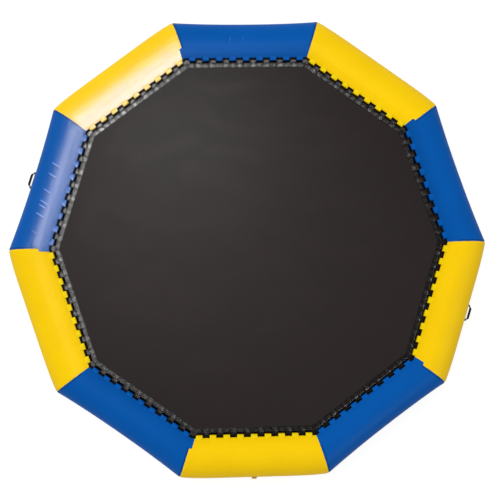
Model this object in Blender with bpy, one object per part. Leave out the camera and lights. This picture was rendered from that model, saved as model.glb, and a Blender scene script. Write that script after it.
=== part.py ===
"""Water bouncer: an inflated ring of ten mitred panels with a mat laced inside it.

Metres, +Z up. The origin is on the ground under the ring's centre, and +X runs out through one
grab handle. Panels are numbered counter-clockwise as seen from above, and the even ones are blue
when they are counted from nought.
"""

import math

import bmesh
import bpy
from mathutils import Matrix, Vector

# The ring
PANELS = 10
CORNER_DIAMETER = 6.10
TUBE_DIAMETER = 0.56
TUBE_SIDES = 24
TUBE_WALL = 0.001
BLUE_SWELL = -0.030
YELLOW_SWELL = 0.026
SWELL_STATION_SHARES = (-1.0, -1 / 3, 1 / 3, 1.0)
MIDDLE_SHARE = SWELL_STATION_SHARES[1]
FIRST_PANEL_TURN = math.radians(108)
SMOOTH_ANGLE = math.radians(40)

# Clearances
TOUCH_GAP = 0.0003
RUNNING_GAP = 0.0004
CUT_OVERRUN = 0.004

# The lacing: angles are measured on the section, up from the ring's inner equator
LACE_ANGLE = math.radians(37.5)
BAND_LOW_ANGLE = math.radians(6)
STRIP_LOW_ANGLE = math.radians(43)
STRIP_HIGH_ANGLE = math.radians(70)
STRIP_SPLIT_ANGLE = math.radians(0.06)
BAND_THICKNESS = 0.0015
STRIP_THICKNESS = 0.002
STRIP_JOINT_OFFSET = 0.038
ROPE_DIAMETER = 0.018
ROPE_SIDES = 8
BELT_LOOPS = 9
BELT_LOOP_WIDTH = 0.082
BELT_LOOP_THICKNESS = 0.002
BELT_LOOP_REACH = 0.044
BELT_LOOP_CREST = 0.018
MAT_LOOP_WIDTH = 0.080
MAT_LOOP_THICKNESS = 0.002
MAT_LOOP_REACH = 0.075

# The mat
MAT_THICKNESS = 0.002
MAT_SETBACK = 0.040
BORDER_WIDTH = 0.062
BORDER_THICKNESS = 0.002
CENTRE_APOTHEM = 0.75

# The valve, which stands on the outer equator of one panel
VALVE_PANEL = 5
VALVE_SIDES = 20
PATCH_THICKNESS = 0.0015
VALVE_PATCH_LENGTH = 0.110
VALVE_PATCH_HEIGHT = 0.070
BARREL_DIAMETER = 0.050
BARREL_DEPTH = 0.022
BARREL_WALL = 0.005
LIP_WIDTH = 0.006
LIP_THICKNESS = 0.003
FLANGE_WIDTH = 0.009
FLANGE_THICKNESS = 0.004
NECK_WALL = 0.006
NECK_HEIGHT = 0.0113
SEAL_WIDTH = 0.008
SEAL_THICKNESS = 0.002
NUT_WIDTH = 0.009
NUT_THICKNESS = 0.006
POPPET_OVERLAP = 0.003
POPPET_THICKNESS = 0.003
STEM_DIAMETER = 0.005
STEM_SIDES = 12
BUTTON_DIAMETER = 0.012
BUTTON_THICKNESS = 0.003
BUTTON_DEPTH = 0.014
BRIDGE_WIDTH = 0.008
BRIDGE_THICKNESS = 0.004
SPRING_HEIGHT = 0.010
SPRING_DIAMETER = 0.0084
SPRING_WIRE = 0.001
SPRING_TURNS = 4
SPRING_POINTS_PER_TURN = 8
CAP_WALL = 0.0037
CAP_TOP_THICKNESS = 0.004
CAP_CHAMFER = 0.005
TETHER_THICKNESS = 0.0015
TETHER_WIDTH = 0.008
TETHER_SLACK = 0.008
TETHER_RISE = 0.009

# The grab handles, on the outer equator of two opposite panels
HANDLE_PANELS = {"left": 2, "right": 7}
HANDLE_PATCH_LENGTH = 0.250
HANDLE_PATCH_HEIGHT = 0.068
LUG_SPACING = 0.196
LUG_LENGTH = 0.018
LUG_HEIGHT = 0.026
LUG_DEPTH = 0.020
BASE_THICKNESS = 0.003
BAR_DIAMETER = 0.012
BAR_SETBACK = 0.011
HANDLE_BOW = 0.026
GRIP_DIAMETER = 0.026
GRIP_LENGTH = 0.136
GRIP_SIDES = 12
BOW_LENGTH_SHARES = (1.0, 0.785, 0.743, 0.692, 0.645)
BOW_DEPTH_SHARES = (0.0, 0.0, 0.38, 0.88, 1.0)

# The anchor rings, low on the outside of the yellow panels
ANCHOR_PANELS = (1, 3, 5, 7, 9)
ANCHOR_ANGLE = math.radians(-45)
ANCHOR_PATCH_LENGTH = 0.120
ANCHOR_PATCH_HEIGHT = 0.066
RING_WIRE = 0.008
RING_WIDTH = 0.050
RING_SHOULDER = 0.012
RING_REACH = 0.038
RING_ARC_POINTS = 7
TUNNEL_WIDTH = 0.034
TUNNEL_THICKNESS = 0.002
TUNNEL_REACH = 0.024
TUNNEL_CREST = 0.009
HANGING_TURN = math.radians(135)

PATCH_END_POINTS = 6

# Worked out from the sizes above
HALF_PANEL_TURN = math.pi / PANELS
MITRE_SLOPE = math.tan(HALF_PANEL_TURN)
FACET_TURN = 2 * math.pi / TUBE_SIDES
TUBE_RADIUS = TUBE_DIAMETER / 2
RING_APOTHEM = CORNER_DIAMETER / 2 * math.cos(HALF_PANEL_TURN) - TUBE_RADIUS
ROPE_RADIUS = ROPE_DIAMETER / 2
BAND_TOP = TOUCH_GAP + BAND_THICKNESS
MAT_LOOP_INSIDE = ROPE_RADIUS + TOUCH_GAP
ROPE_LIFT = BAND_TOP / math.cos(FACET_TURN / 2) + TOUCH_GAP + MAT_LOOP_THICKNESS + MAT_LOOP_INSIDE
MAT_TOP_OFFSET = MAT_THICKNESS / 2
BORDER_HALF_HEIGHT = MAT_TOP_OFFSET + TOUCH_GAP + BORDER_THICKNESS

# Each colour is linear red, green and blue, then roughness and metallic
FINISHES = {
    "blue_pvc": ((0.003, 0.088, 0.352), 0.38, 0.0),
    "yellow_pvc": ((0.980, 0.610, 0.006), 0.38, 0.0),
    "black_pvc": ((0.012, 0.012, 0.013), 0.55, 0.0),
    "black_webbing": ((0.020, 0.020, 0.021), 0.85, 0.0),
    "black_rope": ((0.010, 0.010, 0.011), 0.80, 0.0),
    "mat_fabric": ((0.047, 0.045, 0.043), 0.80, 0.0),
    "black_rubber": ((0.015, 0.015, 0.015), 0.70, 0.0),
    "grey_plastic": ((0.250, 0.250, 0.260), 0.45, 0.0),
    "steel": ((0.560, 0.570, 0.580), 0.25, 1.0),
}


def clear_scene():
    for obj in list(bpy.data.objects):
        bpy.data.objects.remove(obj, do_unlink=True)


def finish(name):
    """The material of that name, made once."""
    found = bpy.data.materials.get(name)
    if found:
        return found
    colour, roughness, metallic = FINISHES[name]
    made = bpy.data.materials.new(name)
    made.use_nodes = True
    shader = made.node_tree.nodes["Principled BSDF"]
    shader.inputs["Base Color"].default_value = (*colour, 1.0)
    shader.inputs["Roughness"].default_value = roughness
    shader.inputs["Metallic"].default_value = metallic
    return made


def panel_colour(panel):
    return "blue_pvc" if panel % 2 == 0 else "yellow_pvc"


def add_mesh(name, bodies, colour, frame=None, smooth=False):
    """One object from closed bodies, each a pair of points and faces."""
    mesh = bpy.data.meshes.new(name)
    points = []
    faces = []
    for body_points, body_faces in bodies:
        start = len(points)
        points += body_points
        faces += [[start + corner for corner in face] for face in body_faces]
    mesh.from_pydata(points, [], faces)
    whole = bmesh.new()
    whole.from_mesh(mesh)
    bmesh.ops.recalc_face_normals(whole, faces=whole.faces)
    whole.to_mesh(mesh)
    whole.free()
    mesh.materials.append(finish(colour))
    if smooth:
        mesh.shade_smooth()
        mesh.set_sharp_from_angle(angle=SMOOTH_ANGLE)
    obj = bpy.data.objects.new(name, mesh)
    bpy.context.scene.collection.objects.link(obj)
    if frame is not None:
        obj.matrix_world = frame
    return obj


def cut(obj, tool, operation="DIFFERENCE"):
    """Keeps the tool as a hidden guide and applies it with a Boolean modifier."""
    tool.hide_render = True
    tool.display_type = "WIRE"
    modifier = obj.modifiers.new(tool.name, "BOOLEAN")
    modifier.operation = operation
    modifier.object = tool
    modifier.solver = "EXACT"


def loft(rings, closed=False):
    """A solid through like outlines in order, with flat ends unless it closes on itself."""
    count = len(rings[0])
    points = [tuple(point) for ring in rings for point in ring]
    faces = []
    spans = len(rings) if closed else len(rings) - 1
    for span in range(spans):
        near = span * count
        far = (span + 1) % len(rings) * count
        for corner in range(count):
            other = (corner + 1) % count
            faces.append([near + corner, near + other, far + other, far + corner])
    if not closed:
        faces.append(list(range(count)))
        faces.append([len(points) - count + corner for corner in range(count)])
    return points, faces


def hollow_loft(outer_rings, inner_rings):
    """An open-ended shell between an outer and an inner set of like outlines.

    Twisted sides are split along the same diagonal inside and out, so the wall stays even.
    """
    count = len(outer_rings[0])
    points = [tuple(point) for ring in outer_rings + inner_rings for point in ring]
    inner_start = len(outer_rings) * count
    faces = []
    for span in range(len(outer_rings) - 1):
        for corner in range(count):
            other = (corner + 1) % count
            near = span * count
            far = near + count
            low = [near + corner, near + other, far + other]
            high = [near + corner, far + other, far + corner]
            for half in (low, high):
                faces.append(half)
                faces.append([inner_start + index for index in reversed(half)])
    for end in (0, len(outer_rings) - 1):
        for corner in range(count):
            other = (corner + 1) % count
            start = end * count
            pair = [start + corner, start + other]
            faces.append(pair + [inner_start + start + other, inner_start + start + corner])
    return points, faces


def lathe(profile, sides):
    """A body turned about local Z from (radius, height) points; a radius of nought is a pole."""
    points = []
    rows = []
    for radius, height in profile:
        if radius == 0:
            rows.append([len(points)] * sides)
            points.append((0.0, 0.0, height))
            continue
        rows.append([len(points) + side for side in range(sides)])
        for side in range(sides):
            turn = 2 * math.pi * side / sides
            points.append((radius * math.cos(turn), radius * math.sin(turn), height))
    poles = profile[0][0] == 0
    faces = []
    for index in range(len(rows) - 1 if poles else len(rows)):
        near = rows[index]
        far = rows[(index + 1) % len(rows)]
        for side in range(sides):
            other = (side + 1) % sides
            quad = [near[side], near[other], far[other], far[side]]
            faces.append(list(dict.fromkeys(quad)))
    return points, faces


def prism(outline, low, high, axis="Z"):
    """An outline of pairs in the plane of the other two local axes, carried along one axis."""
    order = {"Z": lambda a, b, level: (a, b, level),
             "Y": lambda a, b, level: (a, level, b),
             "X": lambda a, b, level: (level, a, b)}[axis]
    return loft([[order(a, b, level) for a, b in outline] for level in (low, high)])


def plate_outline(inside, thickness):
    """A bent plate's outline: the inside points, then the same line set off to its left."""
    outside = []
    for index, (x, y) in enumerate(inside):
        point = Vector((x, y))
        sides = []
        if index > 0:
            sides.append((point - Vector(inside[index - 1])).normalized())
        if index < len(inside) - 1:
            sides.append((Vector(inside[index + 1]) - point).normalized())
        normals = [Vector((-side.y, side.x)) for side in sides]
        middle = sum(normals, Vector((0.0, 0.0))).normalized()
        offset = middle * (thickness / middle.dot(normals[0]))
        outside.append(tuple(point + offset))
    return list(inside) + outside[::-1]


def stadium(length, height):
    """A plate's outline with round ends."""
    radius = height / 2
    outline = []
    for end, start in ((1, -math.pi / 2), (-1, math.pi / 2)):
        for step in range(PATCH_END_POINTS + 1):
            turn = start + math.pi * step / PATCH_END_POINTS
            centre = end * (length / 2 - radius)
            outline.append((centre + radius * math.cos(turn), radius * math.sin(turn)))
    return outline


def swell_at(panel, share):
    """How far a panel's outer equator stands out of the straight line between its corners."""
    most = BLUE_SWELL if panel % 2 == 0 else YELLOW_SWELL
    return most * (1 - share * share)


def skin_point(turn, lift, swell=0.0):
    """(outward, height) on the faceted section, lifted off it; turn nought is the outer equator."""
    facet_centre = round(turn / FACET_TURN) * FACET_TURN
    radius = (TUBE_RADIUS + lift) / math.cos(turn - facet_centre)
    outward = radius * math.cos(turn)
    if outward > 0:
        outward *= (TUBE_RADIUS + swell) / TUBE_RADIUS
    return outward, TUBE_RADIUS + radius * math.sin(turn)


def place(panel, share, shift, outward, height):
    """A point on a panel: share is 1 on its end mitre and -1 on its start, plus a shift along it."""
    turn = FIRST_PANEL_TURN + 2 * HALF_PANEL_TURN * panel
    reach = RING_APOTHEM + outward
    along = share * reach * MITRE_SLOPE + shift
    x = reach * math.cos(turn) - along * math.sin(turn)
    y = reach * math.sin(turn) + along * math.cos(turn)
    return x, y, height


def sweep(outline, stations, closed=False):
    """Carries (outward, height) points through stations, each a panel, a share and a shift."""
    rings = [[place(*station, *point) for point in outline] for station in stations]
    return loft(rings, closed)


def inner_skin(low, high, lift):
    """Points on the inner half of the section between two angles above its inner equator."""
    angles = [low]
    step = math.floor(low / FACET_TURN - 0.5) + 1
    while (step + 0.5) * FACET_TURN < high:
        if (step + 0.5) * FACET_TURN > low:
            angles.append((step + 0.5) * FACET_TURN)
        step += 1
    angles.append(high)
    return [skin_point(math.pi - angle, lift) for angle in angles]


def skin_band_outline(low, high, thickness):
    """The outline of a band that hugs the tube."""
    under = inner_skin(low, high, TOUCH_GAP)
    over = inner_skin(low, high, TOUCH_GAP + thickness)
    return under + over[::-1]


def lace_point(upward, lift):
    """(outward, height) of a point by its distances along and off the tube at the lace line."""
    base_outward, base_height = skin_point(math.pi - LACE_ANGLE, 0.0)
    outward = base_outward - lift * math.cos(LACE_ANGLE) + upward * math.sin(LACE_ANGLE)
    height = base_height + lift * math.sin(LACE_ANGLE) + upward * math.cos(LACE_ANGLE)
    return outward, height


ROPE_OUTWARD, ROPE_HEIGHT = lace_point(0.0, ROPE_LIFT)
ROPE_HALF_SIDE = (RING_APOTHEM + ROPE_OUTWARD) * MITRE_SLOPE
LACE_PITCH = 2 * ROPE_HALF_SIDE / BELT_LOOPS
MAT_APOTHEM = RING_APOTHEM + ROPE_OUTWARD - MAT_SETBACK


def facet_frame(panel, turn):
    """A frame on the middle of a facet: X along the panel, Y up the facet, Z straight out of it."""
    swell = swell_at(panel, MIDDLE_SHARE)
    low = Vector(skin_point(turn - FACET_TURN / 2, 0.0, swell))
    high = Vector(skin_point(turn + FACET_TURN / 2, 0.0, swell))
    middle = (low + high) / 2
    rise = (high - low).normalized()
    azimuth = FIRST_PANEL_TURN + 2 * HALF_PANEL_TURN * panel
    outward = Vector((math.cos(azimuth), math.sin(azimuth), 0.0))
    along = Vector((-math.sin(azimuth), math.cos(azimuth), 0.0))
    up = Vector((0.0, 0.0, 1.0))
    side = outward * rise.x + up * rise.y
    frame = Matrix.Identity(4)
    frame.col[0].xyz = along
    frame.col[1].xyz = side
    frame.col[2].xyz = along.cross(side)
    frame.col[3].xyz = place(panel, 0.0, 0.0, *middle)
    return frame


def make_tube_panels():
    """Ten open-ended shells, mitred, and a little fuller or slacker than straight."""
    turns = [(side + 0.5) * FACET_TURN for side in range(TUBE_SIDES)]
    for panel in range(PANELS):
        outer_rings = []
        inner_rings = []
        for share in SWELL_STATION_SHARES:
            swell = swell_at(panel, share)
            shift = -share * TOUCH_GAP / 2 if abs(share) == 1 else 0.0
            for rings, lift in ((outer_rings, 0.0), (inner_rings, -TUBE_WALL)):
                section = [skin_point(turn, lift, swell) for turn in turns]
                rings.append([place(panel, share, shift, *point) for point in section])
        body = hollow_loft(outer_rings, inner_rings)
        name = f"tube_panel_{panel + 1:02d}"
        tube = add_mesh(name, [body], panel_colour(panel), smooth=True)
        if panel == VALVE_PANEL:
            hole_radius = BARREL_DIAMETER / 2 + TOUCH_GAP
            depth = TUBE_WALL + CUT_OVERRUN
            profile = [(0.0, -depth), (hole_radius, -depth), (hole_radius, depth), (0.0, depth)]
            tool = add_mesh("valve_hole", [lathe(profile, VALVE_SIDES)], "black_pvc",
                            facet_frame(panel, 0.0))
            cut(tube, tool)


def belt_loop_outline():
    """A strap that arches over the rope, from the strip down to the rub band."""
    drop = BELT_LOOP_REACH * math.tan(FACET_TURN / 2)
    clear = 1 / math.cos(FACET_TURN / 2)
    joined_foot = (TOUCH_GAP + STRIP_THICKNESS / 2) * clear - drop
    resting_foot = (BAND_TOP + TOUCH_GAP) * clear - drop
    crest_lift = ROPE_LIFT + ROPE_RADIUS + TOUCH_GAP
    inside = [
        lace_point(-BELT_LOOP_REACH, resting_foot),
        lace_point(-BELT_LOOP_CREST / 2, crest_lift),
        lace_point(BELT_LOOP_CREST / 2, crest_lift),
        lace_point(BELT_LOOP_REACH, joined_foot),
    ]
    return plate_outline(inside, BELT_LOOP_THICKNESS)


def make_lacing_strips():
    """Bands on the inner shoulder, each with its belt loops. Blue ones run on past their seam."""
    outline = skin_band_outline(STRIP_LOW_ANGLE, STRIP_HIGH_ANGLE, STRIP_THICKNESS)
    loop_outline = belt_loop_outline()
    half_gap = TOUCH_GAP / 2
    for panel in range(PANELS):
        following = (panel + 1) % PANELS
        if panel % 2 == 0:
            stations = [
                (panel, -1, half_gap),
                (panel, 1, 0.0),
                (following, -1, STRIP_JOINT_OFFSET - half_gap),
            ]
        else:
            stations = [(panel, -1, STRIP_JOINT_OFFSET + half_gap), (panel, 1, -half_gap)]
        name = f"lacing_strip_{panel + 1:02d}"
        strip = add_mesh(name, [sweep(outline, stations)], panel_colour(panel))
        loops = []
        for index in range(BELT_LOOPS):
            middle = (index - (BELT_LOOPS - 1) / 2) * LACE_PITCH
            start = middle - BELT_LOOP_WIDTH / 2
            loops.append(sweep(loop_outline, [(panel, 0, start), (panel, 0, start + BELT_LOOP_WIDTH)]))
        cut(strip, add_mesh(f"belt_loops_{panel + 1:02d}", loops, panel_colour(panel)), "UNION")


def make_rub_band():
    """The black band under the rope, all the way round."""
    high = STRIP_LOW_ANGLE - STRIP_SPLIT_ANGLE
    outline = skin_band_outline(BAND_LOW_ANGLE, high, BAND_THICKNESS)
    stations = [(panel, 1, 0.0) for panel in range(PANELS)]
    add_mesh("rub_band", [sweep(outline, stations, closed=True)], "black_pvc")


def mat_loop_outline():
    """A strap folded round the rope, with its two ends in the mat's border."""
    reach = ROPE_OUTWARD - MAT_LOOP_REACH
    seat = BORDER_HALF_HEIGHT - BORDER_THICKNESS / 2
    corner = MAT_LOOP_INSIDE
    inside = [
        (reach, ROPE_HEIGHT + seat),
        lace_point(corner, ROPE_LIFT + corner),
        lace_point(corner, ROPE_LIFT - corner),
        lace_point(-corner, ROPE_LIFT - corner),
        (reach, ROPE_HEIGHT - seat),
    ]
    return plate_outline(inside, MAT_LOOP_THICKNESS)


def make_mat_border():
    """The mat's folded edge all the way round, with its loops, one of them round each corner."""
    outer = MAT_APOTHEM - RING_APOTHEM
    inside = outer - BORDER_THICKNESS
    back = outer - BORDER_WIDTH
    gap = MAT_TOP_OFFSET + TOUCH_GAP
    half = BORDER_HALF_HEIGHT
    fold = [
        (back, ROPE_HEIGHT - half),
        (outer, ROPE_HEIGHT - half),
        (outer, ROPE_HEIGHT + half),
        (back, ROPE_HEIGHT + half),
        (back, ROPE_HEIGHT + gap),
        (inside, ROPE_HEIGHT + gap),
        (inside, ROPE_HEIGHT - gap),
        (back, ROPE_HEIGHT - gap),
    ]
    around = [(panel, 1, 0.0) for panel in range(PANELS)]
    border = add_mesh("mat_border", [sweep(fold, around, closed=True)], "black_webbing")
    loop_outline = mat_loop_outline()
    half_width = MAT_LOOP_WIDTH / 2
    end = ROPE_HALF_SIDE - half_width
    loops = []
    for panel in range(PANELS):
        following = (panel + 1) % PANELS
        loops.append(sweep(loop_outline, [(panel, 0, end), (panel, 1, 0.0), (following, 0, -end)]))
        for index in range(BELT_LOOPS - 1):
            middle = (index + 1 - BELT_LOOPS / 2) * LACE_PITCH
            stations = [(panel, 0, middle - half_width), (panel, 0, middle + half_width)]
            loops.append(sweep(loop_outline, stations))
    cut(border, add_mesh("mat_loops", loops, "black_webbing"), "UNION")


def make_rope():
    """One endless rope round the ring, through the belt loops and the mat's loops by turns."""
    outline = []
    for side in range(ROPE_SIDES):
        turn = 2 * math.pi * side / ROPE_SIDES - LACE_ANGLE
        outward = ROPE_OUTWARD + ROPE_RADIUS * math.cos(turn)
        outline.append((outward, ROPE_HEIGHT + ROPE_RADIUS * math.sin(turn)))
    stations = [(panel, 1, 0.0) for panel in range(PANELS)]
    add_mesh("lacing_rope", [sweep(outline, stations, closed=True)], "black_rope", smooth=True)


def decagon(apothem, height):
    """The ring's own ten corners at an apothem."""
    return [place(panel, 1, 0.0, apothem - RING_APOTHEM, height) for panel in range(PANELS)]


def make_mat():
    """Ten gores, each ending inside the border, round a centre panel that gives."""
    low = ROPE_HEIGHT - MAT_TOP_OFFSET
    high = ROPE_HEIGHT + MAT_TOP_OFFSET
    edge = MAT_APOTHEM - BORDER_THICKNESS - TOUCH_GAP
    inner = CENTRE_APOTHEM + TOUCH_GAP
    section = [(inner, low), (edge, low), (edge, high), (inner, high)]
    outline = [(apothem - RING_APOTHEM, height) for apothem, height in section]
    half_gap = TOUCH_GAP / 2
    for panel in range(PANELS):
        gore = sweep(outline, [(panel, -1, half_gap), (panel, 1, -half_gap)])
        add_mesh(f"mat_gore_{panel + 1:02d}", [gore], "mat_fabric")
    centre = loft([decagon(CENTRE_APOTHEM, low), decagon(CENTRE_APOTHEM, high)])
    add_mesh("mat_centre_panel", [centre], "mat_fabric")


def disc(diameter, low, high):
    """A solid disc's profile."""
    return [(0.0, low), (diameter / 2, low), (diameter / 2, high), (0.0, high)]


def washer(inner, outer, low, high):
    """A flat ring's profile, between two radii."""
    return [(inner, low), (outer, low), (outer, high), (inner, high)]


def make_valve():
    """The valve's pieces in a frame whose Z runs out of the ring, with nought on its skin."""
    frame = facet_frame(VALVE_PANEL, 0.0)
    barrel = BARREL_DIAMETER / 2
    hole = barrel + TOUCH_GAP
    patch_low = TOUCH_GAP
    patch_high = patch_low + PATCH_THICKNESS
    seal_low = patch_high + TOUCH_GAP
    seal_high = seal_low + SEAL_THICKNESS
    flange_low = seal_high + TOUCH_GAP
    flange_high = flange_low + FLANGE_THICKNESS
    neck_high = flange_high + NECK_HEIGHT

    patch = add_mesh("valve_patch", [prism(stadium(VALVE_PATCH_LENGTH, VALVE_PATCH_HEIGHT),
                                           patch_low, patch_high)],
                     panel_colour(VALVE_PANEL), frame)
    tool_profile = disc(2 * hole, -CUT_OVERRUN, patch_high + CUT_OVERRUN)
    tool = add_mesh("patch_hole", [lathe(tool_profile, VALVE_SIDES)], "black_pvc", frame)
    cut(patch, tool)

    seal = lathe(washer(hole, barrel + SEAL_WIDTH, seal_low, seal_high), VALVE_SIDES)
    add_mesh("valve_seal", [seal], "black_rubber", frame, smooth=True)

    stretch = (TUBE_RADIUS + swell_at(VALVE_PANEL, MIDDLE_SHARE)) / TUBE_RADIUS
    nut_high = -TUBE_WALL * stretch - TOUCH_GAP
    nut = lathe(washer(hole, barrel + NUT_WIDTH, nut_high - NUT_THICKNESS, nut_high), VALVE_SIDES)
    add_mesh("valve_nut", [nut], "grey_plastic", frame, smooth=True)

    bore = barrel - BARREL_WALL
    opening = bore - LIP_WIDTH
    flange = barrel + FLANGE_WIDTH
    neck = bore + NECK_WALL
    body_profile = [
        (opening, -BARREL_DEPTH),
        (barrel, -BARREL_DEPTH),
        (barrel, flange_low),
        (flange, flange_low),
        (flange, flange_high),
        (neck, flange_high),
        (neck, neck_high),
        (bore, neck_high),
        (bore, LIP_THICKNESS - BARREL_DEPTH),
        (opening, LIP_THICKNESS - BARREL_DEPTH),
    ]
    body = add_mesh("valve_body", [lathe(body_profile, VALVE_SIDES)], "grey_plastic", frame,
                    smooth=True)
    button_high = neck_high - BUTTON_DEPTH
    button_low = button_high - BUTTON_THICKNESS
    bridge_high = button_low - SPRING_HEIGHT
    bridge_low = bridge_high - BRIDGE_THICKNESS
    reach = (bore + barrel) / 2
    half_width = BRIDGE_WIDTH / 2
    bar = [(-reach, -half_width), (reach, -half_width), (reach, half_width), (-reach, half_width)]
    bridge = add_mesh("bridge_bar", [prism(bar, bridge_low, bridge_high)], "grey_plastic", frame)
    cut(body, bridge, "UNION")
    guide = disc(STEM_DIAMETER + 2 * RUNNING_GAP, bridge_low - CUT_OVERRUN, bridge_high + CUT_OVERRUN)
    guide_hole = add_mesh("stem_guide", [lathe(guide, STEM_SIDES)], "grey_plastic", frame)
    cut(body, guide_hole)

    poppet_high = -BARREL_DEPTH - TOUCH_GAP
    stem = STEM_DIAMETER / 2
    button = BUTTON_DIAMETER / 2
    poppet = opening + POPPET_OVERLAP
    poppet_profile = [
        (0.0, poppet_high - POPPET_THICKNESS),
        (poppet, poppet_high - POPPET_THICKNESS),
        (poppet, poppet_high),
        (stem, poppet_high),
        (stem, button_low),
        (button, button_low),
        (button, button_high),
        (0.0, button_high),
    ]
    add_mesh("valve_poppet", [lathe(poppet_profile, STEM_SIDES)], "grey_plastic", frame,
             smooth=True)

    make_spring(frame, bridge_high + TOUCH_GAP, button_low - TOUCH_GAP)

    ring_low = flange_high + TOUCH_GAP
    ring_high = ring_low + TETHER_THICKNESS
    cap_low = ring_high + TOUCH_GAP
    cap_inside = neck_high + TOUCH_GAP
    cap_high = cap_inside + CAP_TOP_THICKNESS
    inside = neck + TOUCH_GAP
    outside = inside + CAP_WALL
    cap_profile = [
        (0.0, cap_high),
        (outside - CAP_CHAMFER, cap_high),
        (outside, cap_high - CAP_CHAMFER),
        (outside, cap_low),
        (inside, cap_low),
        (inside, cap_inside),
        (0.0, cap_inside),
    ]
    add_mesh("valve_cap", [lathe(cap_profile, VALVE_SIDES)], panel_colour(VALVE_PANEL), frame,
             smooth=True)

    ring = lathe([(inside, ring_low), (outside, ring_low), (outside, ring_high), (inside, ring_high)],
                 VALVE_SIDES)
    tether = add_mesh("cap_tether", [ring], "black_rubber", frame)
    strap_line = [
        (-outside + CAP_WALL / 2, ring_low),
        (-outside - TETHER_SLACK, ring_low),
        (-outside - TETHER_SLACK, ring_low + TETHER_RISE),
        (-outside - TOUCH_GAP, ring_low + TETHER_RISE),
    ]
    strap_outline = plate_outline(strap_line[::-1], TETHER_THICKNESS)
    strap = prism(strap_outline, -TETHER_WIDTH / 2, TETHER_WIDTH / 2, "X")
    strap_tool = add_mesh("tether_strap", [strap], "black_rubber", frame)
    cut(tether, strap_tool, "UNION")


def add_tube(name, points, diameter, colour, frame, resolution, cyclic=False):
    """A round bar along local points."""
    curve = bpy.data.curves.new(name, "CURVE")
    curve.dimensions = "3D"
    curve.bevel_depth = diameter / 2
    curve.bevel_resolution = resolution
    curve.use_fill_caps = not cyclic
    spline = curve.splines.new("POLY")
    spline.points.add(len(points) - 1)
    for point, place_at in zip(spline.points, points):
        point.co = (*place_at, 1.0)
    spline.use_cyclic_u = cyclic
    spline.use_smooth = True
    curve.materials.append(finish(colour))
    obj = bpy.data.objects.new(name, curve)
    bpy.context.scene.collection.objects.link(obj)
    obj.matrix_world = frame
    return obj


def add_hinge(name, frame, pieces):
    """An empty on a joint's axis, which carries the pieces that turn there."""
    hinge = bpy.data.objects.new(name, None)
    bpy.context.scene.collection.objects.link(hinge)
    hinge.matrix_world = frame
    for piece in pieces:
        piece.parent = hinge
        piece.matrix_parent_inverse = frame.inverted()


def make_spring(frame, low, high):
    """A coil round the stem, whose turns keep clear of each other."""
    wire = SPRING_WIRE / 2
    radius = SPRING_DIAMETER / 2
    rise = high - low - SPRING_WIRE
    steps = SPRING_TURNS * SPRING_POINTS_PER_TURN
    points = []
    for step in range(steps + 1):
        turn = 2 * math.pi * step / SPRING_POINTS_PER_TURN
        height = low + wire + rise * step / steps
        points.append((radius * math.cos(turn), radius * math.sin(turn), height))
    nearest = min(
        (Vector(points[index]) - Vector(points[index + SPRING_POINTS_PER_TURN])).length
        for index in range(steps + 1 - SPRING_POINTS_PER_TURN)
    )
    print("valve_spring: least gap to itself", round(nearest - SPRING_WIRE, 5), "m")
    add_tube("valve_spring", points, SPRING_WIRE, "steel", frame, 1)


def make_handles():
    """Each handle is a bowed bar with a grip, and turns in the two lugs of its base."""
    patch_high = TOUCH_GAP + PATCH_THICKNESS
    lug_low = patch_high + TOUCH_GAP
    axis_height = lug_low + BAR_SETBACK
    for side, panel in HANDLE_PANELS.items():
        frame = facet_frame(panel, 0.0)
        outline = stadium(HANDLE_PATCH_LENGTH, HANDLE_PATCH_HEIGHT)
        patch = prism(outline, TOUCH_GAP, patch_high)
        add_mesh(f"handle_patch_{side}", [patch], panel_colour(panel), frame)

        lug_high = lug_low + LUG_DEPTH
        plate_high = lug_low + BASE_THICKNESS
        lug_outside = LUG_SPACING / 2 + LUG_LENGTH / 2
        lug_inside = LUG_SPACING / 2 - LUG_LENGTH / 2
        base_outline = [
            (-lug_outside, lug_low),
            (lug_outside, lug_low),
            (lug_outside, lug_high),
            (lug_inside, lug_high),
            (lug_inside, plate_high),
            (-lug_inside, plate_high),
            (-lug_inside, lug_high),
            (-lug_outside, lug_high),
        ]
        base_body = prism(base_outline, -LUG_HEIGHT / 2, LUG_HEIGHT / 2, "Y")
        base = add_mesh(f"handle_base_{side}", [base_body], "black_rubber", frame)
        bore_radius = BAR_DIAMETER / 2 + RUNNING_GAP
        bore_length = LUG_SPACING / 2 + LUG_LENGTH
        profile = [(0.0, -bore_length), (bore_radius, -bore_length), (bore_radius, bore_length),
                   (0.0, bore_length)]
        pivot = frame @ Matrix.Translation((0.0, 0.0, axis_height))
        sideways = Matrix.Rotation(math.pi / 2, 4, "Y")
        bore = add_mesh(f"lug_bore_{side}", [lathe(profile, STEM_SIDES)], "black_rubber",
                        pivot @ sideways)
        cut(base, bore)

        half_length = LUG_SPACING / 2 + LUG_LENGTH / 2
        left = [
            (-share * half_length, 0.0, depth * HANDLE_BOW)
            for share, depth in zip(BOW_LENGTH_SHARES, BOW_DEPTH_SHARES)
        ]
        right = [(-x, y, z) for x, y, z in reversed(left)]
        bar = add_tube(f"grab_handle_{side}", left + right, BAR_DIAMETER, "black_webbing", pivot, 2)

        inner = BAR_DIAMETER / 2 + RUNNING_GAP
        outer = GRIP_DIAMETER / 2
        half_grip = GRIP_LENGTH / 2
        corners = [(inner, -half_grip), (outer, -half_grip), (outer, half_grip), (inner, half_grip)]
        axis = pivot @ Matrix.Translation((0.0, 0.0, HANDLE_BOW)) @ sideways
        grip = add_mesh(f"handle_grip_{side}", [lathe(corners, GRIP_SIDES)], "black_rubber", axis,
                        smooth=True)
        add_hinge(f"handle_hinge_{side}", pivot, [bar, grip])


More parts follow.
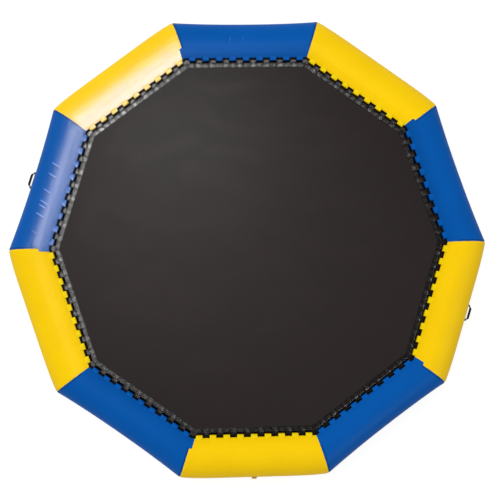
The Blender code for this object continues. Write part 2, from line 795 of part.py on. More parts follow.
def make_anchors():
    """Rings that hang from patches with webbing tunnels, low on the outside."""
    patch_high = TOUCH_GAP + PATCH_THICKNESS
    axis_height = patch_high + TOUCH_GAP + RING_WIRE / 2
    tunnel_high = axis_height + RING_WIRE / 2 + TOUCH_GAP
    joined = patch_high - PATCH_THICKNESS / 2
    inside = [
        (TUNNEL_REACH, joined),
        (TUNNEL_CREST / 2, tunnel_high),
        (-TUNNEL_CREST / 2, tunnel_high),
        (-TUNNEL_REACH, joined),
    ]
    tunnel_outline = plate_outline(inside[::-1], TUNNEL_THICKNESS)
    outline = stadium(ANCHOR_PATCH_LENGTH, ANCHOR_PATCH_HEIGHT)
    half_width = TUNNEL_WIDTH / 2
    for number, panel in enumerate(ANCHOR_PANELS, 1):
        frame = facet_frame(panel, ANCHOR_ANGLE)
        patch = add_mesh(f"anchor_patch_{number}", [prism(outline, TOUCH_GAP, patch_high)],
                         "black_pvc", frame)
        tunnel = prism(tunnel_outline, -half_width, half_width, "X")
        cut(patch, add_mesh(f"anchor_tunnel_{number}", [tunnel], "black_webbing", frame), "UNION")
        half_ring = RING_WIDTH / 2
        points = [(half_ring, 0.0, 0.0)]
        for step in range(RING_ARC_POINTS):
            turn = math.pi * step / (RING_ARC_POINTS - 1)
            away = RING_SHOULDER + (RING_REACH - RING_SHOULDER) * math.sin(turn)
            points.append((half_ring * math.cos(turn), away, 0.0))
        points.append((-half_ring, 0.0, 0.0))
        pivot = frame @ Matrix.Translation((0.0, 0.0, axis_height))
        hanging = pivot @ Matrix.Rotation(HANGING_TURN, 4, "X")
        add_tube(f"anchor_ring_{number}", points, RING_WIRE, "steel", hanging, 1, cyclic=True)


def main():
    clear_scene()
    make_tube_panels()
    make_lacing_strips()
    make_rub_band()
    make_rope()
    make_mat()
    make_mat_border()
    make_valve()
    make_handles()
    make_anchors()


main()
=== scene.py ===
"""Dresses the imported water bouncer: smooth tube skins, webbing, cloth and fittings round its frame.

Metres, +Z up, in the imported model's own frame. Panels are numbered counter-clockwise as seen from
above; the even ones are blue when they are counted from nought.
"""

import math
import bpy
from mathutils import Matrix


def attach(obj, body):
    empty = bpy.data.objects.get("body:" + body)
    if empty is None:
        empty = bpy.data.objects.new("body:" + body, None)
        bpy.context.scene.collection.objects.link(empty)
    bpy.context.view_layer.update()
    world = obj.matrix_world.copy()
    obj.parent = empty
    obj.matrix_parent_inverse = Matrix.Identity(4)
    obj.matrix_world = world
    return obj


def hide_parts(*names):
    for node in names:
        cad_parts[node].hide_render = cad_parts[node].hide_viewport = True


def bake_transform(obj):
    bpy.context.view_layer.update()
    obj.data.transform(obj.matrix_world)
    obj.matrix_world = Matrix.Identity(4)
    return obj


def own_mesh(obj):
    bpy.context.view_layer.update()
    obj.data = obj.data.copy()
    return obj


bl_info = {
    "name": "Water bouncer",
    "version": (1, 0, 0),
    "blender": (4, 5, 0),
    "location": "View3D > Sidebar > Bouncer",
    "description": "Builds the tube, lacing, mat and fittings of a water bouncer",
    "category": "Object",
}

import bmesh
import bpy
import numpy as np
from bpy.props import FloatProperty, FloatVectorProperty, IntProperty, PointerProperty
from mathutils import Matrix

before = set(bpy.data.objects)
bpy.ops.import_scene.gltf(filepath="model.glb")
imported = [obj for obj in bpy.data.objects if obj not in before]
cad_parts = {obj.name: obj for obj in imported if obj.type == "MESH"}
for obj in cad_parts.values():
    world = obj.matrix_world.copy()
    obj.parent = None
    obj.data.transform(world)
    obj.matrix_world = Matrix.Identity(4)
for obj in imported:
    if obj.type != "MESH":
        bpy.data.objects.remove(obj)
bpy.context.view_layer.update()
MM = 0.001

# The ring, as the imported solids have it
PANELS = 10
PANEL_TONES = ("blue", "yellow")
PANEL_TURN = 2 * math.pi / PANELS
FIRST_TURN = math.radians(108)
MITRE_SLOPE = math.tan(PANEL_TURN / 2)
TUBE_RADIUS = 0.28
RING_APOTHEM = 2.620722
SKIN_WALL = 0.006
BLUE_HOLLOW = 0.0267
YELLOW_SWELL = 0.0231

# The lacing line on the inner shoulder, in angles up from the inner equator
LACE_ANGLE = math.radians(37.5)
BAND_ANGLES = (math.radians(6), math.radians(40.24))
STRIP_ANGLES = (math.radians(40.3), math.radians(70))
STRIP_OVERRUN = 0.038
ROPE_OUTWARD = -0.234699
ROPE_HEIGHT = 0.460091
ROPE_LIFT = 0.0158
BELT_LOOPS = 9
LACE_PITCH = 0.172281
TOUCH_GAP = 0.0003
STRIP_THICKNESS = 0.0020
BAND_THICKNESS = 0.0015
LOOP_BORE = 0.0093
BELT_LOOP_REACHES = (0.058, 0.044)

# The mat and its border
MAT_EDGE = 2.3437
MAT_INNER = 0.7503
CENTRE_EDGE = 0.75
MAT_THICKNESS = 0.002
BORDER_BACK = 2.284
BORDER_EDGE = 2.346
BORDER_HALF = 0.0033

# Apothems of the loops' tails in the border, of the cloth's first give and of its last ripple
BORDER_TAIL = 2.311
GIVE_START = 2.27
RIPPLE_END = 2.28

# The fittings
VALVE_PANEL = 5
HANDLE_PANELS = {"left": 2, "right": 7}
ANCHOR_PANELS = (1, 3, 5, 7, 9)
ANCHOR_ANGLE = math.radians(-45)
ANCHOR_NORMAL = (0.678545, -0.734556)
ANCHOR_SKIN = (0.214311, 0.082010)
FITTING_SWELLS = (-BLUE_HOLLOW, YELLOW_SWELL)
PATCH_THICKNESS = 0.0015
HANDLE_PATCH = (0.250, 0.068)
HANDLE_AXIS_HEIGHT = 0.0131
HANDLE_BOW = 0.026
HANDLE_END = ((-0.1065, 0.0), (-0.0850, 0.0), (-0.0715, HANDLE_BOW))
SLEEVE_HALF = 0.068
SLEEVE_BORE = 0.0092
LUG_BEVEL = 0.0014
ANCHOR_PATCH = (0.120, 0.066)
RING_AXIS_HEIGHT = 0.0061
HANGING_TURN = math.radians(135)
TUNNEL_STRAP = (0.034, 0.0020)
VALVE_PATCH = (0.110, 0.070)
THROAT_HOLE = 0.0253
TETHER_STRAP = (0.008, 0.0015)

# Fineness
SKIN_STATIONS = 260
CREASED_STATIONS = 560
SKIN_AROUND = 96
ROUND_SIDES = 14
PATCH_SIDES = 64
VALVE_SIDES = 64
PLUNGER_SIDES = 40
SLEEVE_SIDES = 28
SMOOTH_ANGLE = math.radians(34)
BAR_SMOOTH_ANGLE = math.radians(60)

# The photograph's camera: degrees turned about X, Y and Z, metres shifted, focal length in pixels
CAMERA_TURNS = (-3.87, 3.18, 1.24 - 18.0)
CAMERA_SHIFT = (-0.0093, 0.0460, -16.0)
CAMERA_FOCAL = 1249.0
PHOTO_WIDTH = 500.0
SENSOR_WIDTH = 36.0

# The stage: the floor's half width and level, its faint colour and its glow where it is looked
# at, and the light of the sky
FLOOR_HALF = 60.0
FLOOR_LEVEL = -0.0006
FLOOR_FAINT = (0.22, 0.22, 0.22, 1.0)
FLOOR_GLOW = 0.86
SKY_STRENGTH = 0.55

# Up to the first of these distances from the ring's centre the floor is plain for every ray
OPEN_GROUND = (RING_APOTHEM - 0.22, RING_APOTHEM - 0.07)

# The gloss panels: where they point, from how far, their size, and each one's tilt and radiance
GLOSS_TARGET = (-2.35, 0.80, 0.50)
GLOSS_REACH = 7.5
GLOSS_SIZE = (4.0, 2.5)
GLOSS_BEARING = -19
GLOSS_PANELS = ((14, 31.0), (33, 25.0), (52, 21.0), (71, 47.0))

# The pieces that they light in full, and the shares that the border and all others get
GLOSSY_PIECES = ("ring_skin_02", "ring_skin_03", "lacing_02", "lacing_03")
SPARE_GLOSS = 0.05
BORDER_GLOSS = 1.5

# The pieces that the inner fill and the mat's haze light, and the haze's size and radiance
SHADED_PIECES = tuple(f"{kind}_{number}" for kind in ("ring_skin", "lacing")
                      for number in ("10", "01", "02", "03", "04"))
MAT_PIECES = ("mat_cloth_centre", *[f"mat_cloth_{number:02d}" for number in range(1, PANELS + 1)])
HAZE_SIZE = 1.6
HAZE_RADIANCE = 2.9

WHITE = (1.0, 1.0, 1.0, 1.0)
YELLOW_GLOSS = (0.5, 0.47, 1.0, 1.0)
# The tint of the painted highlight along the creases' ridges
CREASE_HIGHLIGHT_TINT = (0.17, 0.29, 0.56)

# Of the cloths, in metres: how far a weld's overlap and its line reach, and the pitch of threads
WELD_OVERLAP = (0.0265, 0.0300)
WELD_LINE = (0.0010, 0.0045)
SCRIM_PITCH = 0.0030
BRAID_PITCH = 0.0090
WEAVE_PITCH = 0.0036


def length_property(name, description, default, most, least=0.0):
    """A length that a user can change."""
    return FloatProperty(name=name, description=description, default=default, min=least, max=most,
                         unit="LENGTH")


class BouncerSizes(bpy.types.PropertyGroup):
    """The shapes that a user would change."""

    yellow_swell: length_property(
        "Yellow swell", "How far a yellow panel's outer wall stands out", YELLOW_SWELL, 0.03)
    blue_hollow: length_property(
        "Blue hollow", "How far a blue panel's outer wall is drawn in", BLUE_HOLLOW, 0.05)
    weld_pinch: length_property(
        "Weld pinch", "Depth of the valley along each mitre weld", 0.0070, 0.01)
    pucker_height: length_property(
        "Pucker height", "Height of the small folds beside each mitre", 0.0055, 0.01)
    crease_height: length_property(
        "Crease height", "Height of the creases over the crest of two blue panels", 0.0042, 0.01)
    belt_loop_width: length_property(
        "Belt loop width", "Width of the coloured loops over the rope", 0.082, 0.085, 0.02)
    mat_loop_width: length_property(
        "Mat loop width", "Width of the mat's black loops round the rope", 0.080, 0.085, 0.02)
    strap_thickness: length_property(
        "Strap thickness", "Thickness of the webbing loops", 0.002, 0.002, 0.0005)
    rope_diameter: length_property(
        "Rope diameter", "Thickness of the lacing rope", 0.018, 0.018, 0.006)
    border_lump: length_property(
        "Border lump", "How far the border rises between its ties", 0.0050, 0.008)
    cloth_ripple: length_property(
        "Cloth ripple", "Height of the slow waves in the mat", 0.0012, 0.004)
    grip_ribs: IntProperty(
        name="Grip ribs", description="Ribs along each handle's sleeve", default=13, min=2, max=24)
    cap_knurls: IntProperty(
        name="Cap knurls", description="Ridges round the valve's cap", default=30, min=6, max=60)


def colour_property(name, description, default):
    """A linear colour that a user can change."""
    return FloatVectorProperty(name=name, description=description, default=default, size=3,
                               min=0.0, max=1.0, subtype="COLOR")


class BouncerColours(bpy.types.PropertyGroup):
    """The colours of its materials, linear."""

    blue: colour_property("Blue", "Blue coated fabric", (0.0012, 0.092, 0.392))
    yellow: colour_property("Yellow", "Yellow coated fabric", (0.985, 0.612, 0.0012))
    black_coat: colour_property("Black coat", "Black coated fabric", (0.0060, 0.0055, 0.0055))
    webbing: colour_property("Webbing", "Black webbing", (0.0060, 0.0046, 0.0043))
    rope: colour_property("Rope", "Black braided rope", (0.0060, 0.0050, 0.0048))
    mat: colour_property("Mat", "Woven mat", (0.0190, 0.0143, 0.0134))
    rubber: colour_property("Rubber", "Black rubber", (0.009, 0.009, 0.009))
    plastic: colour_property("Plastic", "Grey moulded plastic", (0.250, 0.250, 0.260))
    steel: colour_property("Steel", "Brushed steel", (0.560, 0.570, 0.580))
    floor: colour_property("Floor", "Studio floor", (0.62, 0.62, 0.62))


class Signal:
    """A number or colour that runs between nodes, with arithmetic written as in a formula."""

    def __init__(self, paint, socket):
        self.paint = paint
        self.socket = socket

    def __add__(self, other):
        return self.paint.maths("ADD", self, other)

    __radd__ = __add__

    def __sub__(self, other):
        return self.paint.maths("SUBTRACT", self, other)

    def __rsub__(self, other):
        return self.paint.maths("SUBTRACT", other, self)

    def __mul__(self, other):
        return self.paint.maths("MULTIPLY", self, other)

    __rmul__ = __mul__


class Paint:
    """One material or sky being made. Its node method adds any node of a type."""

    def __init__(self, name, kind="materials"):
        self.owner = getattr(bpy.data, kind).new(name)
        self.owner.use_nodes = True
        self.tree = self.owner.node_tree
        self.tree.nodes.clear()

    def node(self, kind, sockets=None, output=0, **settings):
        """Adds a node, makes its settings, then gives its sockets their values or links.

        Gives back one of its outputs, or nothing from a node that has none.
        """
        made = self.tree.nodes.new(kind)
        for key, value in settings.items():
            setattr(made, key, value)
        for key, value in (sockets or {}).items():
            if isinstance(value, Signal):
                self.tree.links.new(value.socket, made.inputs[key])
            else:
                made.inputs[key].default_value = value
        return Signal(self, made.outputs[output]) if made.outputs else None

    def maths(self, operation, *values):
        return self.node("ShaderNodeMath", dict(enumerate(values)), operation=operation)

    def step(self, value, low, high):
        """Turns smoothly from 0 at low to 1 at high."""
        sockets = {0: value, 1: low, 2: high}
        return self.node("ShaderNodeMapRange", sockets, interpolation_type="SMOOTHSTEP")

    def noise(self, vector, scale, detail, roughness):
        sockets = {"Vector": vector, "Scale": scale, "Detail": detail, "Roughness": roughness}
        return self.node("ShaderNodeTexNoise", sockets)

    def mix(self, factor, first, second):
        """A colour between two."""
        return self.node("ShaderNodeMix", {0: factor, 6: first, 7: second}, 2, data_type="RGBA")

    def place(self, stretch=(1.0, 1.0, 1.0)):
        """Object coordinates, stretched."""
        here = self.node("ShaderNodeTexCoord", output=3)
        return self.node("ShaderNodeMapping", {"Vector": here, "Scale": stretch})

    def parts(self, vector):
        """The first two coordinates of a vector."""
        return [self.node("ShaderNodeSeparateXYZ", {0: vector}, output) for output in (0, 1)]

    def surface(self):
        """The two coordinates of the piece's own UV map, in metres."""
        return self.parts(self.node("ShaderNodeUVMap", uv_map="metres"))

    def stored(self, name):
        """A number kept on the mesh, one for each point."""
        return self.node("ShaderNodeAttribute", output=2, attribute_name=name)

    def wave(self, distance, period):
        """A sine of a distance in metres, from -1 to 1."""
        return self.maths("SINE", distance * (2 * math.pi / period))

    def bump(self, height, strength=1.0):
        """Normals tilted by a height in metres."""
        sockets = {"Height": height, "Distance": 1.0, "Strength": strength}
        return self.node("ShaderNodeBump", sockets)

    def finish(self, **sockets):
        """Closes the material with a shader; a socket's words are joined by underscores here."""
        named = {key.replace("_", " "): value for key, value in sockets.items()}
        shader = self.node("ShaderNodeBsdfPrincipled", named)
        self.node("ShaderNodeOutputMaterial", {"Surface": shader})
        return self.owner


def shade(colour, factor):
    """A colour times a factor, with its alpha."""
    return (*[min(1.0, part * factor) for part in colour], 1.0)


def coated_fabric(name, colour, weld_tone, roughness=0.46, ior=1.12, gloss_tint=WHITE):
    """Coated fabric: a fine cloth print, slow patches of tone, the overlap beside each weld.

    Creases get a painted highlight along their ridges and painted shade beside them.
    """
    paint = Paint(name)
    here = paint.place()
    along, around = paint.surface()
    patches = paint.noise(here, 2.2, 3.0, 0.55)
    specks = paint.noise(here, 46.0, 2.0, 0.6)
    seam = paint.stored("seam")
    weld = 1 - paint.step(seam, *WELD_OVERLAP)
    line = 1 - paint.step(seam, *WELD_LINE)
    tone = paint.mix(patches, shade(colour, 0.93), shade(colour, 1.07))
    tone = paint.mix(weld * 0.75, tone, shade(colour, weld_tone))
    tone = paint.mix(line * 0.7, tone, shade(colour, 0.45))
    crease = paint.stored("crease")
    # Painted highlight along each crease's ridge and painted shade in the trough beside it
    pale = [tint + 0.5 * part for tint, part in zip(CREASE_HIGHLIGHT_TINT, colour)]
    tone = paint.mix(paint.step(crease, 0.12, 0.62) * 0.95, tone, shade(pale, 1.0))
    tone = paint.mix(paint.step(crease, -0.03, -0.22) * 0.5, tone, shade(colour, 0.55))
    scrim = paint.wave(along, SCRIM_PITCH) * paint.wave(around, SCRIM_PITCH)
    slack = paint.noise(paint.place((5.0, 5.0, 5.0)), 1.0, 2.0, 0.5)
    height = scrim * 0.00004 + weld * 0.0006 + specks * 0.00025 + slack * 0.0011
    return paint.finish(
        Base_Color=tone,
        Roughness=roughness + patches * 0.06 + weld * 0.05,
        IOR=ior,
        Specular_Tint=gloss_tint,
        Normal=paint.bump(height),
    )


def webbing_cloth(name, colour, rib, roughness, ior=1.12, gloss_tint=WHITE, sheen=0.0,
                  shaded_reach=None, fleck=None):
    """Woven webbing: ribs across the strap, a finer warp along it, and stray lighter threads.

    Where it is stretched over a lump its pleats shine by sheen, up to a given distance along it a
    painted shade darkens it, and flecks of another colour lie in it.
    """
    paint = Paint(name)
    across, along = paint.surface()
    ribs = paint.wave(along, rib)
    warp = paint.wave(across, rib * 0.6)
    wear = paint.noise(paint.place(), 60.0, 3.0, 0.6)
    pleats = paint.node("ShaderNodeCombineXYZ", {0: across * 18.0, 1: along * 74.0})
    bright = paint.step(paint.noise(pleats, 1.0, 2.0, 0.6), 0.34, 0.70)
    tone = paint.mix(wear, shade(colour, 0.75), shade(colour, 1.35))
    height = ribs * 0.00016 + warp * 0.00008 + wear * 0.0004
    if sheen:
        height = height + bright * paint.stored("lump") * 0.0008
    if fleck:
        tone = paint.mix(paint.step(wear, 0.54, 0.68) * 0.85, tone, shade(fleck, 1.0))
    # Painted shade: towards the strap's inner end, where the loop curves down, its tone turns dark
    # and brownish
    if shaded_reach:
        painted_shade = [part * share for part, share in zip(colour, (0.20, 0.11, 0.09))]
        dark = 1 - paint.step(along, shaded_reach, shaded_reach + 0.018)
        tone = paint.mix(dark * 0.9, tone, shade(painted_shade, 1.0))
    return paint.finish(
        Base_Color=tone,
        Roughness=roughness + wear * 0.12,
        IOR=ior,
        Specular_Tint=gloss_tint,
        Coat_Weight=paint.stored("lump") * (0.2 + bright * 1.6) * sheen,
        Coat_Roughness=0.34,
        Normal=paint.bump(height),
    )


def braided_rope(name, colour):
    """Braid: two sets of strands that wind round the rope in opposite ways."""
    paint = Paint(name)
    around, along = paint.surface()
    one_way = paint.wave(along + around * 1.6, BRAID_PITCH)
    other_way = paint.wave(along - around * 1.6, BRAID_PITCH)
    strands = paint.maths("MAXIMUM", one_way, other_way)
    tone = paint.mix(paint.step(strands, 0.2, 1.0), shade(colour, 0.55), shade(colour, 1.7))
    return paint.finish(
        Base_Color=tone,
        Roughness=0.62 + strands * 0.05,
        IOR=1.2,
        Normal=paint.bump(strands * 0.0006),
    )


def woven_mat(name, colour):
    """Open woven mat cloth: over and under threads, slubs, and faint lines where it was folded."""
    paint = Paint(name)
    here = paint.place()
    east, north = paint.parts(here)
    weave = paint.wave(east, WEAVE_PITCH) * paint.wave(north, WEAVE_PITCH)
    slubs = paint.noise(paint.place((9.0, 70.0, 9.0)), 1.0, 3.0, 0.6)
    ends = paint.noise(paint.place((70.0, 9.0, 9.0)), 1.0, 3.0, 0.6)
    clouds = paint.noise(here, 1.1, 3.0, 0.55)
    threads = slubs * 0.5 + ends * 0.5
    flecks = paint.noise(here, 28.0, 2.0, 0.7)
    tone = paint.mix(threads * 0.5 + flecks * 0.5, shade(colour, 0.55), shade(colour, 1.45))
    tone = paint.mix(clouds * 0.4, tone, shade(colour, 1.12))
    height = weave * 0.00022 + threads * 0.0012
    return paint.finish(
        Base_Color=tone,
        Roughness=0.60 + threads * 0.08,
        Specular_IOR_Level=0.12,
        Normal=paint.bump(height, 0.8),
    )


def moulded(name, colour, roughness, metallic=0.0, grain=300.0, ior=1.5):
    """Moulded rubber or plastic, or bare metal: a fine grain and slow changes of gloss."""
    paint = Paint(name)
    here = paint.place()
    fine = paint.noise(here, grain, 3.0, 0.6)
    slow = paint.noise(here, 18.0, 2.0, 0.5)
    tone = paint.mix(slow, shade(colour, 0.88), shade(colour, 1.12))
    return paint.finish(
        Base_Color=tone,
        Roughness=roughness + slow * 0.08,
        Metallic=metallic,
        IOR=ior,
        Normal=paint.bump(fine * 0.0001),
    )


# Each material's maker, colour and settings
FINISHES = {
    "blue_coated_fabric": (coated_fabric, "blue", {"weld_tone": 0.58}),
    "yellow_coated_fabric": (coated_fabric, "yellow", {
        "weld_tone": 1.03, "ior": 1.165, "gloss_tint": YELLOW_GLOSS}),
    "black_coated_fabric": (coated_fabric, "black_coat", {"weld_tone": 1.0, "roughness": 0.50}),
    # The coloured straps get painted shade over their first 44 mm, where the loops curve down
    "blue_strap": (webbing_cloth, "blue", {"rib": 0.0034, "roughness": 0.50, "shaded_reach": 0.044}),
    "yellow_strap": (webbing_cloth, "yellow", {
        "rib": 0.0034, "roughness": 0.50, "ior": 1.165, "gloss_tint": YELLOW_GLOSS,
        "shaded_reach": 0.044}),
    "black_webbing_cloth": (webbing_cloth, "webbing", {
        "rib": 0.0030, "roughness": 0.62, "ior": 1.03}),
    "mat_loop_cloth": (webbing_cloth, "webbing", {
        "rib": 0.0030, "roughness": 0.62, "ior": 1.03, "sheen": 0.25,
        "fleck": (0.022, 0.0125, 0.0095)}),
    "glossy_border_cloth": (webbing_cloth, "webbing", {
        "rib": 0.0042, "roughness": 0.45, "ior": 1.02, "sheen": 0.32}),
    "braided_rope": (braided_rope, "rope", {}),
    "woven_mat": (woven_mat, "mat", {}),
    "moulded_rubber": (moulded, "rubber", {"roughness": 0.55, "ior": 1.15}),
    "moulded_plastic": (moulded, "plastic", {"roughness": 0.38}),
    "brushed_steel": (moulded, "steel", {"roughness": 0.22, "metallic": 1.0, "grain": 420.0}),
}


def finished(name):
    """The material of that name, made in the scene's colours when it is first asked for."""
    made = bpy.data.materials.get(name)
    if made:
        return made
    maker, colour, settings = FINISHES[name]
    return maker(name, getattr(bpy.context.scene.bouncer_colours, colour), **settings)


def smooth(value):
    """Turns smoothly from 0 to 1 as the value does: 3v^2 - 2v^3."""
    held = np.clip(value, 0.0, 1.0)
    return held * held * (3 - 2 * held)


def panel_tone(panel):
    """The name of a panel's colour."""
    return PANEL_TONES[panel % 2]


def panel_swell(panel, share, sizes):
    """How far the outer wall stands off the straight line between its corners.

    Yellow: most x (1 - |share|^6), full almost to its corners. Blue: -most x (1 - |share|^2.2).
    """
    away = np.abs(share)
    if panel % 2 == 0:
        return -sizes.blue_hollow * (1 - away ** 2.2)
    return sizes.yellow_swell * (1 - away ** 6)


def on_section(angle, lift, swell=0.0):
    """(outward, height) at an angle up from the outer equator and a lift off the tube.

    outward = (radius + lift) cos(angle), widened on the outer half by swell over radius;
    height = radius + (radius + lift) sin(angle).
    """
    radius = TUBE_RADIUS + lift
    outward = radius * np.cos(angle)
    outward = np.where(outward > 0, outward * (1 + swell / TUBE_RADIUS), outward)
    return outward, TUBE_RADIUS + radius * np.sin(angle)


def on_panel(panel, share, shift, outward, height):
    """Points on panels. reach = apothem + outward; along = share x reach x mitre slope + shift.

    x = reach cos(turn) - along sin(turn), y = reach sin(turn) + along cos(turn).
    """
    panel, share, shift, outward, height = np.broadcast_arrays(panel, share, shift, outward, height)
    turn = FIRST_TURN + panel * PANEL_TURN
    reach = RING_APOTHEM + outward
    along = share * reach * MITRE_SLOPE + shift
    x = reach * np.cos(turn) - along * np.sin(turn)
    y = reach * np.sin(turn) + along * np.cos(turn)
    return np.stack([x, y, height], axis=-1)


def fitting_frame(panel, angle=0.0):
    """(origin, along, side, out) of a fitting on the middle of a panel, level or as an anchor."""
    turn = FIRST_TURN + panel * PANEL_TURN
    level = np.array([math.cos(turn), math.sin(turn), 0.0])
    along = np.array([-math.sin(turn), math.cos(turn), 0.0])
    up = np.array([0.0, 0.0, 1.0])
    if angle:
        out = ANCHOR_NORMAL[0] * level + ANCHOR_NORMAL[1] * up
        side = -ANCHOR_NORMAL[1] * level + ANCHOR_NORMAL[0] * up
        origin = (RING_APOTHEM + ANCHOR_SKIN[0]) * level + ANCHOR_SKIN[1] * up
        return origin, along, side, out
    reach = RING_APOTHEM + TUBE_RADIUS + FITTING_SWELLS[panel % 2]
    origin = reach * level + TUBE_RADIUS * up
    return origin, along, up, level


def in_frame(place, points):
    """Local points, (along, side, out), as points of the whole."""
    origin, along, side, out = place
    points = np.asarray(points, float)
    return origin + points[..., :1] * along + points[..., 1:2] * side + points[..., 2:] * out


def rounded(outline, radius, steps=4, closed=True):
    """An outline whose corners are each a short curve: (1-t)^2 a + 2t(1-t) corner + t^2 b.

    The points a and b lie a radius from the corner along its two sides, or half a side if less.
    """
    corner = np.asarray(outline, float)
    before = np.roll(corner, 1, axis=0) - corner
    after = np.roll(corner, -1, axis=0) - corner

    def towards(side):
        length = np.linalg.norm(side, axis=1, keepdims=True)
        return corner + side * np.minimum(radius / length, 0.5)

    t = np.linspace(0, 1, steps)[None, :, None]
    a = towards(before)[:, None]
    b = towards(after)[:, None]
    curves = (1 - t) ** 2 * a + 2 * t * (1 - t) * corner[:, None] + t ** 2 * b
    if closed:
        return curves.reshape(-1, corner.shape[1])
    inner = curves[1:-1].reshape(-1, corner.shape[1])
    return np.concatenate([corner[:1], inner, corner[-1:]])


def lathe(profile, sides, ridges=0, ridge_depth=0.0, ridged=None):
    """A grid turned about local Z from (radius, height) points; it runs from row to row.

    x = r cos(turn), y = r sin(turn); r = radius x (1 - depth x ridged x |sin(ridges turn / 2)|).
    """
    profile = np.asarray(profile, float)
    turn = 2 * math.pi * np.arange(sides) / sides
    radius = profile[:, :1]
    if ridges:
        radius = radius * (1 - ridge_depth * ridged[:, None] * np.abs(np.sin(ridges * turn / 2)))
    radius = radius * np.ones_like(turn)
    height = profile[:, 1:] * np.ones_like(turn)
    return np.stack([radius * np.cos(turn), radius * np.sin(turn), height], axis=-1)


def bar_along(path, reference, radius, sides=ROUND_SIDES, closed=False):
    """A round bar carried along a path: point + radius (cos a x side + sin a x up).

    side is the tangent crossed with the reference direction, and up is side crossed with tangent.
    """
    path = np.asarray(path, float)
    if closed:
        tangent = np.roll(path, -1, axis=0) - np.roll(path, 1, axis=0)
    else:
        tangent = np.gradient(path, axis=0)
    tangent /= np.linalg.norm(tangent, axis=1, keepdims=True)
    side = np.cross(tangent, reference)
    side /= np.linalg.norm(side, axis=1, keepdims=True)
    up = np.cross(side, tangent)
    angle = (2 * math.pi * np.arange(sides) / sides)[None, :, None]
    return path[:, None] + radius * (np.cos(angle) * side[:, None] + np.sin(angle) * up[:, None])


def metres_along(path, closed=False):
    """The distance travelled at each point of a path, and once more at its start if it closes."""
    path = np.asarray(path, float)
    if closed:
        path = np.concatenate([path, path[:1]])
    steps = np.linalg.norm(np.diff(path, axis=0), axis=1)
    return np.concatenate([[0.0], np.cumsum(steps)])


def grid_metres(points, ring):
    """A UV map in metres for a grid: round its first row's columns and down its first column."""
    points = np.asarray(points, float)
    points = points.reshape(-1, *points.shape[-3:])[0]
    across = metres_along(points[0], True)
    down = metres_along(points[:, 0], ring)
    return np.stack(np.meshgrid(across, down), axis=-1)


def placed(name, data):
    """A new object in the scene."""
    obj = bpy.data.objects.new(name, data)
    bpy.context.scene.collection.objects.link(obj)
    return obj


class Form:
    """Gathers grids of points into one closed mesh."""

    def __init__(self):
        self.points = []
        self.faces = []
        self.uvs = []
        self.finish_numbers = []
        self.count = 0

    def add(self, points, uv=None, ring=False, finish=0):
        """Adds a grid, or several like ones, of shape (..., rows, columns, 3).

        A point's number is row x columns + column. Rows close on themselves where ring is true;
        otherwise the first and last rows are closed by a face. Faces are turned to look outwards
        by the sign of the volume that they hold.
        """
        points = np.asarray(points, float)
        if uv is None:
            uv = grid_metres(points, ring)
        rows, columns = points.shape[-3:-1]
        grids = points.reshape(-1, rows * columns, 3)
        row = np.arange(rows if ring else rows - 1)[:, None, None] + np.array([0, 1, 1, 0])
        column = np.arange(columns)[None, :, None] + np.array([0, 0, 1, 1])
        quads = ((row % rows) * columns + column % columns).reshape(-1, 4)
        flat_uv = np.asarray(uv, float).reshape(-1, 2)
        uv_columns = np.shape(uv)[1]
        places = (row * uv_columns + column).reshape(-1, 4)
        groups = [(quads, flat_uv[places])]
        if not ring:
            first = np.arange(columns)[None]
            last = ((rows - 1) * columns + np.arange(columns))[None, ::-1]
            uv_last = ((rows - 1) * uv_columns + np.arange(columns))[None, ::-1]
            groups.append((first, flat_uv[first]))
            groups.append((last, flat_uv[uv_last]))
        volume = 0.0
        for faces, _ in groups:
            corners = grids[0][faces] - grids[0].mean(axis=0)
            fans = np.cross(corners[:, 1:-1], corners[:, 2:])
            volume += (corners[:, :1] * fans).sum()
        starts = self.count + np.arange(len(grids)) * rows * columns
        for faces, face_uv in groups:
            if volume < 0:
                faces, face_uv = faces[:, ::-1], face_uv[:, ::-1]
            self.faces.append((starts[:, None, None] + faces).reshape(-1, faces.shape[1]))
            self.uvs.append(np.tile(face_uv, (len(grids), 1, 1)))
            self.finish_numbers.append(np.full(len(faces) * len(grids), finish))
        self.points.append(grids.reshape(-1, 3))
        self.count += len(grids) * rows * columns
        return self

    def build(self, name, *finishes, stored=None, sharp=SMOOTH_ANGLE):
        """Makes the object, with its UV map in metres and any numbers stored on its points."""
        mesh = bpy.data.meshes.new(name)
        points = np.concatenate(self.points).astype(np.float32)
        corners = np.concatenate([faces.ravel() for faces in self.faces]).astype(np.int32)
        sizes = np.concatenate([np.full(len(faces), faces.shape[1]) for faces in self.faces])
        starts = np.concatenate([[0], np.cumsum(sizes)[:-1]]).astype(np.int32)
        mesh.vertices.add(len(points))
        mesh.vertices.foreach_set("co", points.ravel())
        mesh.loops.add(len(corners))
        mesh.loops.foreach_set("vertex_index", corners)
        mesh.polygons.add(len(sizes))
        mesh.polygons.foreach_set("loop_start", starts)
        numbers = np.concatenate(self.finish_numbers).astype(np.int32)
        mesh.polygons.foreach_set("material_index", numbers)
        mesh.update(calc_edges=True)
        layer = mesh.uv_layers.new(name="metres")
        uv = np.concatenate([faces.reshape(-1, 2) for faces in self.uvs]).astype(np.float32)
        layer.data.foreach_set("uv", uv.ravel())
        for key, values in (stored or {"seam": np.ones(len(points))}).items():
            attribute = mesh.attributes.new(key, "FLOAT", "POINT")
            attribute.data.foreach_set("value", np.asarray(values, np.float32).ravel())
        mesh.validate()
        mesh.shade_smooth()
        mesh.set_sharp_from_angle(angle=sharp)
        for finish in finishes:
            mesh.materials.append(finished(finish))
        return placed(name, mesh)


def dress(obj, body, slot, *nodes):
    """Puts a piece on its body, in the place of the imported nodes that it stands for."""
    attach(obj, body)
    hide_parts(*nodes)


def eased_shares(count, crowding=0.74):
    """Shares from -1 to 1, closer at the ends: (1 - c) t + c sin(pi t / 2)."""
    t = np.linspace(-1, 1, count)
    return (1 - crowding) * t + crowding * np.sin(t * math.pi / 2)


